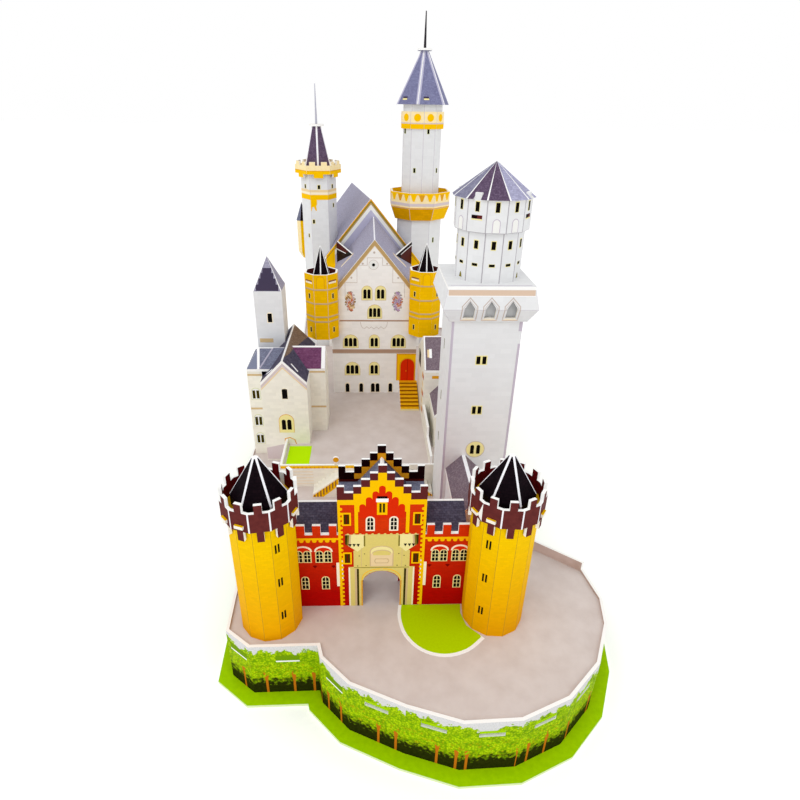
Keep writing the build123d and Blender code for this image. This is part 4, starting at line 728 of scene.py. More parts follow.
def facet(centre, radius, sides, turn, number):
    """Frame of one side of a folded tube; side 0 looks to the front when turn is 0."""
    apothem = radius * math.cos(math.pi / sides)
    angle = math.radians(-90 + turn + 360 * number / sides)
    out = (math.cos(angle), math.sin(angle))
    return ((centre[0] + apothem * out[0], centre[1] + apothem * out[1], 0), (-out[1], out[0], 0))


def slope(centre, cone, number):
    """Frame of one side of a folded cone, measured up the slope from its foot."""
    low, low_radius, high, high_radius, sides, turn = cone
    (x, y, _), along = facet(centre, low_radius, sides, turn, number)
    run = (high_radius - low_radius) * math.cos(math.pi / sides)
    return (x, y, low), along, (run * along[1], -run * along[0], high - low)


def ridges(sheet, centre, cone, width, skin=None, layer=0):
    """Light fold lines along the ridges of a cone."""
    low, low_radius, high, high_radius, sides, _ = cone
    foot, head = (radius * math.sin(math.pi / sides) for radius in (low_radius, high_radius))
    length = math.hypot(high - low, (low_radius - high_radius) * math.cos(math.pi / sides))
    sheet.mirror = True
    for number in range(sides):
        sheet.move(*slope(centre, cone, number))
        inner = max(head - width, 0)
        sheet.shape([(foot - width, 0.05), (foot, 0.05), (head, length), (inner, length)],
                    skin or WHITE_INK, layer)
    sheet.mirror = False


def lights(sheet, x0, x1, z0, z1, count, gap=0.9, layer=2, skin=None):
    """Row of narrow black openings with round tops, or of square ones in the given colour."""
    width = (x1 - x0 - gap * (count - 1)) / count
    for number in range(count):
        left = x0 + number * (width + gap)
        draw = sheet.rect if skin else sheet.arch
        draw(left, left + width, z0, z1, skin or BLACK_INK, layer)


def barred(sheet, x0, x1, z0, z1, skin, layer, border=0.55):
    """One dark window with a round top, in a light frame with glazing bars."""
    sheet.arch(x0, x1, z0, z1, skin, layer)
    sheet.arch(x0 + border, x1 - border, z0 + border, z1 - border, BLACK_INK, layer + 1)
    middle, height = (x0 + x1) / 2, z1 - z0
    sheet.line([(middle, z0 + border), (middle, z1 - border)], 0.4, skin, layer + 2)
    for share in (0.36, 0.64):
        level = z0 + height * share
        sheet.line([(x0 + border, level), (x1 - border, level)], 0.4, skin, layer + 2)


# Steps of the gate's gables, from the middle outwards: x from, x to, height
GATE_STEPS = [(0.0, 2.3, 99.8), (2.3, 6.5, 95.0), (6.5, 11.1, 90.9), (11.1, 15.3, 86.5),
              (15.3, 20.1, 82.5)]


def gate_caps(sheet, skin, depth):
    for x0, x1, top in GATE_STEPS:
        sheet.rect(x0, x1, top - depth, top, skin, 1)
    sheet.rect(20.1, 24.0, 82.5 - depth, 86.5, skin, 1)


def under_caps(depth, side):
    """Stepped line this far below the tops of the steps, then level at the side."""
    steps = [(x, top - depth) for x0, x1, top in GATE_STEPS[:-1] for x in (x0, x1)]
    return steps + [(15.3, side), (24, side)]


def gate_windows(sheet):
    barred(sheet, 3.9, 8.9, 56.9, 67.0, PALE_INK, 2, 0.9)
    for low, high in ((60.7, 69.5), (32.8, 41.5)):
        sheet.rect(16.8, 21.7, low, high, YELLOW_INK, 2)
        sheet.rect(17.7, 20.8, low + 1.0, high - 1.0, DEEP_RED_INK, 3)
        lights(sheet, 18.0, 20.6, low + 1.3, high - 1.3, 2, 0.6, 4, OLIVE_INK)


def gate_prints():
    sheet = Sheet("gate_front_prints", "gate_front_wall")
    sheet.mirror = True
    gate_caps(sheet, MAROON_INK, 4.4)
    sheet.shape(under_caps(4.4, 78.1) + [(24, 74.8), (14.9, 74.8), (14.9, 55.4), (13.0, 55.4),
                                         (13.0, 70), (0, 70)], YELLOW_INK)
    for number, top in enumerate((83.6, 79.8, 75.2)):
        middle = 3.5 * (number + 1)
        sheet.arch(middle - 1.75, middle + 1.75, 66, top, RED_INK, 1)
    sheet.mirror = False
    sheet.arch(-1.75, 1.75, 66, 87.2, RED_INK, 1)
    sheet.rect(-2.7, 2.7, 79.0, 80.4, CAP_INK, 3)
    sheet.rect(-3.3, 3.3, 76.6, 78.9, WHITE_INK, 3)
    sheet.rect(-2.8, 2.8, 68.0, 76.5, YELLOW_INK, 2)
    lights(sheet, -1.5, 1.5, 69.6, 75.6, 2, 0.7, 3, OLIVE_INK)
    sheet.mirror = True
    gate_windows(sheet)
    sheet.rect(22.6, 24.0, 0, 74.8, YELLOW_INK, 1)
    for number in range(23):
        low = 0.4 + 3.2 * number
        sheet.shape([(22.7, low), (22.7, low + 2.2), (21.4, low + 1.7), (21.4, low + 0.5)],
                    YELLOW_INK, 1)
    portal_prints(sheet)
    wing_prints(sheet)
    rear = Sheet("gate_rear_prints", "gate_rear_wall", (0, GATE_REAR_Y, 0))
    rear.mirror = True
    gate_caps(rear, CAP_INK, 4.6)
    rear.rect(15.3, 24, 79.6, 82.3, CAP_INK, 1)
    rear.shape(under_caps(4.8, 79.6) + [(24, 78.2), (0, 78.2)], GOLD_INK)
    rear.rect(12.0, 24, 70, 78.2, FIN_INK)
    foot = (0, 1.95, 92.5)
    ridge = Sheet("gate_ridge", "gate_roof", foot, (0, 1, 0), (-13.7, 0, 16.3))
    ridge.rect(0, 16.8, -1.9, 0, WHITE_INK)
    ridge.move(foot, (0, -1, 0), (13.7, 0, 16.3))
    ridge.rect(-16.8, 0, -1.5, 0, WHITE_INK)


def gate_back_prints():
    """Guessed prints on the back of the gate: dark caps, a yellow verge and windows."""
    sheet = Sheet("gate_back_prints", "gate_rear_wall", (0, GATE_BACK_Y, 0), (-1, 0, 0))
    sheet.mirror = True
    gate_caps(sheet, MAROON_INK, 4.4)
    sheet.shape(under_caps(4.4, 78.1) + [(24, 74.8), (0, 74.8)], YELLOW_INK)
    gate_windows(sheet)
    for middle in (30.0, 40.0):
        for low, high in ((13.0, 21.0), (33.0, 42.0)):
            barred(sheet, middle - 2.4, middle + 2.4, low, high, PALE_INK, 2, 0.7)


def portal_prints(sheet):
    """Light stone portal with two bay windows, its piers and a blank plaque."""
    sheet.shape([(0, 27.6), (3.6, 27.2), (7.0, 25.6), (9.4, 23.2), (10.8, 20.2), (10.8, 0),
                 (18.8, 0), (18.8, 30.6), (15.8, 30.6), (15.8, 42.5), (12.0, 45.8), (9.6, 47.5),
                 (9.6, 54.3), (0, 54.3)], PORTAL_INK, 1)
    sheet.shape([(9.8, 54.3), (9.8, 45.6), (13.5, 42.1), (20.3, 47.6), (20.3, 54.3)], CREAM_INK, 2)
    for shift, skin in ((0, TAN_INK), (1.0, LIGHT_OLIVE_INK), (2.0, OLIVE_INK)):
        sheet.shape([(16.9 + shift, 54.1), (17.5 + shift, 45.4 + 0.8 * shift), (20.3, 47.6),
                     (20.3, 54.1)], skin, 3)
    sheet.rect(9.2, 10.0, 46.0, 53.6, LIGHT_OLIVE_INK, 3)
    for x in (13.1, 15.4, 17.6):
        sheet.shape([(x - 0.9, 47.7), (x + 0.9, 47.7), (x, 45.6)], BLACK_INK, 4)
    for number in range(6):
        sheet.disc(1.7 + 3.4 * number, 54.3, 0.8, PORTAL_INK, 1, 10)
    sheet.rect(0, 15.6, 29.9, 30.3, LIGHT_OLIVE_INK, 2)
    sheet.rect(24.0, 25.6, 16.0, 34.0, PALE_INK, 3)
    for x, z in ((9.6, 40.4), (12.6, 38.9), (8.8, 31.6), (13.6, 31.4)):
        sheet.disc(x, z, 0.35, OLIVE_INK, 2, 8)
    sheet.line([(11.4, 31.0), (11.4, 44.6)], 0.25, TAN_INK, 2)
    bow = [(10.1 * math.cos(turn), 20.0 + 8.2 * math.sin(turn) ** 0.9)
           for turn in [math.pi * number / 20 for number in range(11)]]
    sheet.line([(x + 1.0, z + 0.8) for x, z in bow], 0.5, YELLOW_INK, 2)
    sheet.rect(10.8, 11.6, 0, 20.2, GOLD_INK, 2)
    sheet.rect(12.9, 14.1, 0, 29.2, OLIVE_INK, 2)
    sheet.rect(14.1, 15.3, 0, 29.2, TAN_INK, 2)
    sheet.rect(17.9, 18.8, 0, 30.0, PALE_INK, 2)
    sheet.mirror = False
    sheet.arch(-6.7, 6.7, 30.9, 46.3, TAN_INK, 2, 4.0)
    sheet.arch(-6.1, 6.1, 31.4, 45.7, CREAM_INK, 3, 3.6)
    sheet.rect(-6.1, 6.1, 31.4, 40.6, BEIGE_INK, 4)
    sheet.arch(-5.4, 5.4, 39.4, 43.4, TAN_INK, 4, 2.6)
    sheet.arch(-4.9, 4.9, 39.4, 42.8, PORTAL_INK, 5, 2.2)
    sheet.shape([(-3.6, 33.4), (3.6, 33.4), (4.3, 35.2), (3.6, 37.0), (-3.6, 37.0), (-4.3, 35.2)],
                TAN_INK, 5)
    sheet.shape([(-3.1, 34.0), (3.1, 34.0), (3.7, 35.2), (3.1, 36.4), (-3.1, 36.4), (-3.7, 35.2)],
                BEIGE_INK, 6)
    sheet.mirror = True


def wing_prints(sheet):
    """Windows, string course and bosses of the two low wings."""
    sheet.rect(24.0, 49.0, 50.7, 52.0, YELLOW_INK, 1)
    for number in range(7):
        middle = 26.6 + 3.55 * number
        sheet.arch(middle - 1.2, middle + 1.2, 50.7, 48.9, YELLOW_INK, 1, -1.0)
    for x0, x1 in ((27.9, 37.2), (39.4, 48.6)):
        middle = (x0 + x1) / 2
        sheet.arch(x0 - 0.5, x1 + 0.5, 42.2, 46.4, PALE_INK, 1, 3.6)
        sheet.arch(x0 + 0.5, x1 - 0.5, 41.6, 45.3, RED_INK, 2, 2.9)
        barred(sheet, x0, middle - 0.1, 34.3, 43.2, CREAM_INK, 3)
        barred(sheet, middle + 0.1, x1, 34.3, 43.2, CREAM_INK, 3)
    for x0 in (29.8, 41.5):
        barred(sheet, x0, x0 + 4.6, 13.7, 23.7, CREAM_INK, 2)
    for x in (27.2, 37.7):
        sheet.shape([(x - 1.3, 31.6), (x, 30.0), (x + 1.3, 31.6), (x, 32.0)], DEEP_RED_INK, 1)


def tower_prints():
    """Narrow paired slits of the front towers."""
    for side, centre, turn, number, middle in (("left", LEFT_TOWER, 9, 1, -1.6),
                                               ("right", RIGHT_TOWER, -4, -1, -0.7)):
        sheet = Sheet("tower_prints_" + side, "tower_shaft_" + side,
                      *facet(centre, 17.4, 12, turn, number))
        for height in (64.2, 41.2, 17.2):
            lights(sheet, *around(middle, height, 1.35, 2.7), 2, 0.8, 0, BLACK_INK)


def keep_prints():
    front = Sheet("keep_front_prints", "keep_shaft", (0, KEEP_Y, 0))
    for x0, x1, z0, z1 in ((58.2, 64.2, 124.7, 129.7), (58.4, 64.2, 90.2, 95.4)):
        front.rect(x0 - 0.6, x1 + 0.6, z0 - 0.6, z1 + 0.6, CREAM_INK)
        lights(front, x0, x1, z0, z1, 2, 1.3, 1, BLACK_INK)
    front.disc(62.8, 63.4, 6.3, LINE_INK, 0, 28)
    front.disc(62.8, 63.4, 5.9, CREAM_INK, 1, 28)
    lights(front, 59.6, 66.0, 60.0, 66.8, 2, 1.6)
    front.rect(41.7, 43.1, 0, 152.0, VIOLET_INK)
    front.rect(82.2, 83.6, 0, 138.0, VIOLET_INK)
    front.rect(81.6, 83.6, 146.0, 152.0, VIOLET_INK)
    side = Sheet("keep_left_prints", "keep_shaft", (41.7, 0, 0), (0, -1, 0))
    for height in (127.9, 90.9, 58.7):
        side.rect(-97.6, -96.2, height - 3.4, height + 3.4, LIGHT_OLIVE_INK)
        side.rect(-97.2, -96.6, height - 2.8, height + 2.8, OLIVE_INK, 1)
    keep_head_prints()
    keep_drum_prints()


def keep_head_prints():
    """Niche surrounds and the band of the head; its upper part leans in, its lower part out."""
    run, rise = 2.35, 11.2
    length = math.hypot(run, rise)
    foot = (KEEP[0], KEEP[1] - 27.5, 161.0)
    upper = Sheet("keep_head_prints", "keep_head", foot, up=(0, run, rise))
    upper.rect(-24.6, 24.6, length - 3.3, length - 0.2, SAND_INK)
    upper.rect(-24.8, 24.8, length - 3.7, length - 3.3, WHITE_INK)
    lower = Sheet("keep_head_foot_prints", "keep_head", foot, up=(0, -4.6, 8.5))
    for step in (-1, 0, 1):
        middle = 12.2 * step
        upper.line([(middle - 4.4, 0.2), (middle - 4.4, 2.0), (middle, 6.9), (middle + 4.4, 2.0),
                    (middle + 4.4, 0.2)], 0.5, LINE_INK)
        upper.line([(middle - 3.5, 0.2), (middle - 3.5, 1.2), (middle, 5.3), (middle + 3.5, 1.2),
                    (middle + 3.5, 0.2)], 0.25, LINE_INK)
        for edge in (-4.4, 4.4):
            lower.line([(middle + edge, -0.3), (middle + edge, -7.4)], 0.5, LINE_INK)
        lower.rect(middle - 3.3, middle + 3.3, -8.0, -6.9, PALE_INK)
        lower.rect(middle - 4.6, middle + 4.6, -8.7, -8.1, SAND_INK)
    plate = Sheet("keep_top_prints", "keep_top_plate", (*KEEP, 174.0), up=(0, 1, 0))
    plate.rect(-23.4, 23.0, -23.2, -22.6, VIOLET_INK)


def keep_drum_prints():
    upper = Sheet("keep_lantern_prints", "keep_lantern")
    lower = Sheet("keep_drum_prints", "keep_drum")
    for number in range(12):
        upper.move(*facet(*LANTERN_TUBE, number))
        if number % 3 == 2:
            upper.rect(-3.1, 3.1, 209.4, 211.3, MAROON_INK)
            upper.rect(-3.1, 0.2, 209.4, 211.3, CAP_INK, 1)
            upper.rect(-3.3, 3.3, 208.7, 209.3, CREAM_INK)
        else:
            upper.arch(-2.2, 2.2, 202.6, 209.8, VIOLET_INK)
            upper.arch(-1.8, 1.8, 202.6, 209.4, STONE_INK, 1)
        upper.slit((-1.35, 1.35, 213.0, 218.6), (-1.1, 1.1, 213.2, 218.2), CREAM_INK)
        lower.move(*facet(*DRUM_TUBE, number))
        lower.slit((-1.5, 1.5, 192.5, 197.8), (-1.15, 1.15, 192.9, 197.4), CREAM_INK)
        lower.slit((-1.8, 1.8, 183.0, 184.9), (-1.6, 1.6, 183.3, 184.8), CREAM_INK)
        if number in (2, 10):
            lower.shape([(-1.2, 175.2), (1.2, 175.2), (0.6, 177.4), (0, 178.4), (-0.6, 177.4)],
                        LIGHT_OLIVE_INK)
    ridges(Sheet("keep_roof_lines", "keep_roof"), DRUM, (219.5, 23.7, 237.1, 0.05, 12, -4), 0.45)


# Floors of the palace windows and its band, each as low and high
PALACE_FLOORS = ((35.8, 44.7), (63.8, 72.2), (92.6, 100.9))
PALACE_BAND = (57.2, 60.8)


def palace_window(sheet, x0, x1, z0, z1, count):
    """Grouped lights in a pale yellow surround with a round top."""
    head = 3.4
    sheet.arch(x0 - 1.7, x1 + 1.7, z0 - 1.7, z1 + head, TAN_INK, 1)
    sheet.arch(x0 - 1.4, x1 + 1.4, z0 - 1.4, z1 + head - 0.35, CREAM_INK, 2)
    lights(sheet, x0, x1, z0, z1, count, 0.8, 3)


def round_window(sheet, x, z):
    sheet.disc(x, z, 4.3, LINE_INK, 1, 24)
    sheet.disc(x, z, 4.05, STONE_INK, 2, 24)
    sheet.disc(x, z, 1.4, BLACK_INK, 3, 16)


def palace_prints():
    sheet = Sheet("palace_front_prints", "palace_front_walls", (0, FACADE_Y, 0))
    first, second, third = PALACE_FLOORS
    for x0, x1, (z0, z1), count in (
            (-11.6, -5.2, (109.8, 118.2), 2), (0.4, 7.0, (109.8, 118.2), 2),
            (-6.6, 3.6, third, 3), (-29.4, -18.1, second, 3), (-5.2, 1.5, second, 2),
            (15.1, 26.0, second, 3), (-28.3, -16.8, first, 3), (-5.3, 1.6, first, 2)):
        palace_window(sheet, x0, x1, z0, z1, count)
    for x0, x1, count in ((-29.3, -25.8, 1), (-16.1, -12.6, 1), (-4.9, 3.2, 2), (12.1, 15.6, 1)):
        sheet.arch(x0 - 0.8, x1 + 0.8, 15.8, 26.6, PALE_INK, 1)
        lights(sheet, x0, x1, 16.4, 25.5, count)
    round_window(sheet, -2.6, 140.0)
    sheet.rect(-33.5, 30.2, 88.2, 89.6, BROWN_INK)
    sheet.rect(-40.8, 37.5, *PALACE_BAND, BROWN_INK)
    sheet.rect(-40.8, 37.5, 56.6, 57.2, LINE_INK)
    ridge, middle = -1.6, -1.4
    for side in (-1, 1):
        eave = ridge + side * 33.4
        sheet.shape([(ridge, 161.3), (ridge, 157.0), (eave, 116.3), (eave, 120.6)], VERGE_INK)
        sheet.shape([(ridge, 157.0), (ridge, 156.2), (eave, 115.5), (eave, 116.3)], TAN_INK)
        steps = [(0, 146.1), (6.6, 146.1), (6.6, 139.6), (15.7, 139.6), (15.7, 136.1),
                 (15.7, 124.2), (26.4, 124.2), (26.4, 111.0)]
        sheet.line([(middle + side * x, z) for x, z in steps], 0.35, LINE_INK)
        for x, z in ((10.6, 141.0), (20.6, 128.6)):
            sheet.disc(middle + side * x, z, 0.9, LINE_INK, 0, 10)
    sheet.disc(-2.0, 150.6, 1.0, LINE_INK, 0, 10)
    scallops = [(-14.6, 87.6), (-13.9, 84.2), (-12.6, 82.0), (-10.6, 81.4), (-8.6, 83.2),
                (-6.6, 81.2), (-4.6, 83.0), (-2.2, 81.0), (0.2, 83.0), (2.2, 81.2), (4.2, 83.2),
                (6.4, 81.4), (8.4, 82.0), (9.6, 84.2), (10.3, 87.6)]
    sheet.line(scallops, 0.35, LINE_INK)
    palace_ornaments(sheet)
    sheet.rect(19.2, 37.5, 28.6, 56.4, GOLD_INK, 1)
    sheet.rect(20.4, 37.5, 28.6, 55.2, YELLOW_INK, 2)
    sheet.arch(22.2, 37.2, 28.6, 52.2, GOLD_INK, 3)
    sheet.arch(23.2, 36.2, 28.6, 51.2, RED_INK, 4)
    sheet.line([(29.7, 28.8), (29.7, 50.6)], 0.3, DEEP_RED_INK, 5)
    sheet.disc(28.4, 38.6, 0.5, GOLD_INK, 6, 10)


def palace_rows(sheet, middles, floors=PALACE_FLOORS):
    """Rows of paired windows above one another."""
    for low, high in floors:
        for middle in middles:
            palace_window(sheet, middle - 3.3, middle + 3.3, low, high, 2)


def far_palace_prints():
    """Guessed windows on the palace walls that the photograph doesn't show."""
    side = Sheet("palace_side_prints", "palace_front_walls")
    rear = Sheet("palace_rear_prints", "palace_rear_walls")
    for sheet, corner, along, middles, start, end in (
            (side, (-40.8, 0, 0), (0, -1, 0), (-343, -320, -297, -274), -362, -262),
            (side, (37.5, 0, 0), (0, 1, 0), (277, 300, 323), 262, 340),
            (rear, (-83.5, 497.8, 0), (16.0, -96.7, 0), (20, 42, 64), 0, 76),
            (rear, (44.9, 420.1, 0), (-15.9, 96.3, 0), (38, 60, 82), 24, 97)):
        sheet.move(corner, along)
        palace_rows(sheet, middles)
        sheet.rect(start, end, *PALACE_BAND, BROWN_INK)
    rear.move((29.0, 516.4, 0), (-112.5, -18.6, 0))
    palace_rows(rear, (18, 44, 70, 96))
    palace_rows(rear, (44, 70), [(120.0, 128.4)])
    round_window(rear, 57, 148.0)
    rear.rect(0, 114, *PALACE_BAND, BROWN_INK)
    rear.rect(2, 112, 106.0, 107.4, BROWN_INK)


def far_wall_prints():
    """Guessed windows on the far walls of the keep, the houses and the slim towers."""
    tower_floors = ((60, 66), (95, 101), (130, 136))
    keep_floors = ((60.0, 66.8), (90.2, 95.4), (124.7, 129.7))
    for name, node, start, end, places, floors in (
            ("keep_right", "keep_shaft", (83.6, 71.4), (83.6, 113.3), (18,), keep_floors),
            ("keep_rear", "keep_shaft", (83.6, 113.3), (41.7, 113.3), (18,), keep_floors),
            ("annex_left", "left_house_walls", (-102.9, 205.5), (-102.9, 165.5), (7, 26),
             ((18, 25), (48, 55))),
            ("house_rear", "left_house_walls", (-55.2, 236.0), (-91.2, 236.0), (7, 23),
             ((24, 31), (50, 57))),
            ("back_tower_left", "back_tower_walls", (-100.1, 228.0), (-100.1, 205.5), (8.2,),
             ((34, 41), (68, 75), (102, 109))),
            ("range_right", "range_walls", (83.0, 188.4), (83.0, 248.2), (11, 27, 43),
             ((26, 33), (48, 55))),
            ("tall_tower_rear", "tall_tower_lower", (57.6, 420.1), (38.4, 420.1), (6.6,),
             tower_floors),
            ("tall_tower_right", "tall_tower_lower", (71.1, 387.4), (71.1, 406.6), (6.6,),
             tower_floors),
            ("side_tower_left", "side_tower_shaft", (-69.0, 400.9), (-76.7, 384.4), (6.0,),
             ((70, 76), (110, 116), (150, 156)))):
        sheet = Sheet(name + "_prints", node, (*start, 0), (end[0] - start[0], end[1] - start[1], 0))
        for left in places:
            for low, high in floors:
                sheet.rect(left - 0.6, left + 6.6, low - 0.6, high + 0.6, CREAM_INK)
                lights(sheet, left, left + 6, low, high, 2, 1.3, 1, BLACK_INK)


def palace_ornaments(sheet):
    """Two painted bunches of flowers and leaves beside the upper windows."""
    golden = math.tau * 0.381966
    for middle, petals in ((-23.4, (ROSE_INK, BEIGE_INK, RUST_INK, PINK_INK)),
                           (18.8, (LILAC_INK, PINK_INK, ROSE_INK, LAVENDER_INK))):
        for number in range(46):
            reach = math.sqrt((number + 0.5) / 46)
            x = middle + 4.2 * reach * math.cos(golden * number)
            z = 107.0 + 8.8 * reach * math.sin(golden * number)
            for turn in range(4):
                angle = math.tau * turn / 4 + number
                sheet.disc(x + 0.5 * math.cos(angle), z + 0.5 * math.sin(angle), 0.62,
                           petals[number * 3 % 4], 1 + number % 3, 8)
            sheet.disc(x, z, 0.3, RUST_INK if number % 2 else CREAM_INK, 4, 7)
        for number in range(9):
            angle = math.tau * number / 9
            x, z = middle + 4.3 * math.cos(angle), 107.0 + 9.0 * math.sin(angle)
            sheet.shape([(x - 1.0, z), (x, z - 0.7), (x + 1.0, z), (x, z + 0.7)],
                        LIGHT_OLIVE_INK)


def step_prints():
    steps = Sheet("entrance_step_prints", "entrance_stairs")
    for number in range(8):
        low = COURT_Z + 1.6375 * number
        steps.move((0, 211.8 + 4.5625 * number, 0))
        steps.rect(22.1, 38.9, low + 0.1, low + 1.5, RISER_INK if number else CREAM_INK)


def turret_prints():
    """Bands, blind tabs and narrow windows of the two corner turrets."""
    for side, centre, radius, top, bands, windows in (
            ("left", LEFT_TURRET, 15.4, 134.5, (121.7, 109.3, 97.2, 92.8), (115.2, 84.4)),
            ("right", RIGHT_TURRET, 14.8, 137.0, (125.2, 112.2, 100.0, 95.8), (117.0, 86.6))):
        sheet = Sheet("turret_prints_" + side, "turret_body_" + side)
        half = radius * math.sin(math.pi / 8) - 0.3
        for number in range(-2, 3):
            sheet.move(*facet(centre, radius, 8, 0, number))
            for height in bands:
                sheet.rect(-half, half, height - 0.5, height + 0.6, TAN_INK)
                sheet.rect(-half, half, height - 0.9, height - 0.5, VERGE_INK)
            if number % 2:
                for height in windows:
                    sheet.slit(around(0, height, 1.1, 2.5), around(0, height, 0.8, 2.2),
                               CREAM_INK, 2)
                sheet.rect(-4.2, 4.0, top - 6.4, top - 5.2, RUST_INK, 1)
                sheet.rect(-4.2, 4.0, top - 8.0, top - 6.4, PALE_INK, 1)
            else:
                sheet.arch(-3.5, 3.5, top - 11.6, top - 1.0, GOLD_INK, 1)
                sheet.arch(-3.1, 3.1, top - 11.6, top - 1.5, YELLOW_INK, 2)
        foot = top - 8.0
        ridges(Sheet("turret_cone_lines_" + side, "turret_cone_" + side), centre,
               (foot, 9.8, foot + 29.4, 0.6, 6, 30), 0.75)


def upper_gable_prints():
    """Verge bands and yellow ends of the gable between the two palace blocks, tabs of the front roof,
    and painted shade on its side fins.
    """
    sheet = Sheet("upper_gable_prints", "palace_upper_gable", (0, UPPER_GABLE_Y, 0))
    apex_x, apex, fall = -4.3, 178.1, 1.22
    for side, yellow_from, end in ((-1, 38.4, 47.8), (1, 43.6, 55.1)):
        for low, high, skin, layer, first in (
                (0.3, 2.2, GOLD_INK, 0, 0), (2.2, 3.8, LIGHT_OLIVE_INK, 0, 0),
                (3.8, 5.8, VERGE_INK, 0, 0), (5.8, 11.0, STONE_INK, 0, 0),
                (11.0, 30.0, PALE_SLATE_INK, 0, 0), (0.3, 34.0, YELLOW_INK, 1, yellow_from),
                (2.8, 3.8, RUST_INK, 2, yellow_from + 0.2)):
            corners = ((first, low), (first, high), (end, high), (end, low))
            sheet.shape([(apex_x + side * x, apex - fall * x - drop) for x, drop in corners],
                        skin, layer)
    ridge = (-1.6, 0, 160.7)
    roof = Sheet("front_roof_tabs_and_fin_shade", "palace_front_roof", ridge, (0, -1, 0), (1, 0, fall))
    roof.line([(-305.6, -32.8), (-314.6, -49.5)], 3.4, BEIGE_INK)
    roof.line([(-303.2, -33.6), (-312.2, -50.3)], 0.9, WHITE_INK)
    roof.move(ridge, (0, 1, 0), (-1, 0, fall))
    roof.line([(297.2, -30.0), (312.4, -48.4)], 3.4, BEIGE_INK)
    roof.line([(294.8, -31.0), (310.0, -49.4)], 0.9, WHITE_INK)
    # on each side fin, painted shade: a dark red field and a black one, split by a white line
    depth = 61.5
    for outer, inner in ((-40.8, -22.0), (37.5, 18.0)):
        run = inner - outer
        length = math.hypot(run, depth)
        if run > 0:
            roof.move((outer, UPPER_GABLE_Y, 0), (run, -depth, 0))
            line = [(0.4, 127.2), (38.0, 130.6)]
            red_shade = [line[0], line[1], (49.0, 134.9), (0.4, 134.9)]
            shade = [(0.4, 112.0), (44.0, 129.0), line[1], line[0]]
        else:
            roof.move((outer + BOARD * depth / length, UPPER_GABLE_Y + BOARD * run / length, 0),
                      (-run, depth, 0))
            line = [(-0.4, 131.6), (-46.0, 131.8)]
            red_shade = [line[0], line[1], (-46.0, 129.0), (-0.4, 111.5)]
            shade = [line[0], line[1], (-54.0, 134.9), (-0.4, 134.9)]
        roof.shape(red_shade, FIN_INK)
        roof.shape(shade, CAP_INK)
        roof.line(line, 0.7, WHITE_INK, 1)


def house_prints():
    """Windows, verges and bands of the left group of houses, and the tabs in their roofs."""
    front = Sheet("left_house_prints", "left_house_walls", (0, HOUSE_Y, 0))
    front.arch(-75.5, -70.3, 56.8, 66.6, PALE_INK)
    front.arch(-75.0, -70.8, 57.3, 66.0, BLACK_INK, 1, 0.9)
    front.arch(-79.4, -67.2, 26.4, 43.4, GOLD_INK)
    front.arch(-79.1, -67.5, 26.4, 43.0, CREAM_INK, 1)
    lights(front, -77.1, -69.4, 29.2, 38.5, 2, 1.1)
    front.line([(-75.4, 15.0), (-75.4, 20.6), (-71.4, 21.6), (-67.6, 19.6), (-66.4, 15.0)], 0.7,
               GOLD_INK)
    for side in (-1, 1):
        edge = [(-73.2, 87.6), (-73.2 + side * 17.8, 69.0)]
        for drop, depth, skin in ((0.0, 2.6, PINK_INK), (3.0, 1.1, BEIGE_INK)):
            front.shape([(x, z - drop - low) for low in (0, depth)
                         for x, z in (edge if not low else edge[::-1])], skin)
    front.shape([(-91.0, 1.0), (-75.2, 1.0), (-75.2, 15.6), (-91.0, 12.0)], PINK_INK)
    front.move((0, ANNEX_Y, 0))
    for low, high in ((52.5, 59.7), (27.9, 35.5), (10.8, 18.2)):
        front.arch(-101.2, -93.8, low - 1.2, high + 2.4, MOSS_INK)
        front.arch(-100.9, -94.1, low - 0.9, high + 2.0, STONE_INK)
        lights(front, -100.2, -94.8, low, high, 2, 1.0, 1, OLIVE_INK)
    for height in (73.4, 43.3):
        front.rect(-102.6, -91.6, height - 0.8, height + 0.8, TAN_INK)
    front.move((0, WING_Y, 0))
    for height in (70.8, 38.8):
        front.rect(-55.0, -42.6, height - 0.8, height + 0.8, TAN_INK)
    tower = Sheet("back_tower_prints", "back_tower_walls", (0, BACK_TOWER_Y, 0))
    tower.arch(-90.9, -85.8, 102.1, 111.4, PALE_INK)
    tower.rect(-90.1, -86.6, 102.8, 110.2, BLACK_INK, 1)
    tower.rect(-98.2, -87.1, 84.9, 88.4, TAN_INK)
    slates = Sheet("back_tower_roof_prints", "back_tower_roof", (BACK_TOWER[0], 205.35, 129.0),
                   up=(0, 11.35, 25.5))
    for half, low, high in ((9.0, 0.3, 5.4), (7.0, 5.4, 10.2), (5.2, 10.2, 14.6), (3.6, 14.6, 18.6)):
        slates.rect(-half, half, low, high, SLATE_INK)
    ridges(slates, BACK_TOWER, (129.0, 16.12, 154.5, 0.05, 4, 0), 0.6, layer=1)
    house_roof_prints()


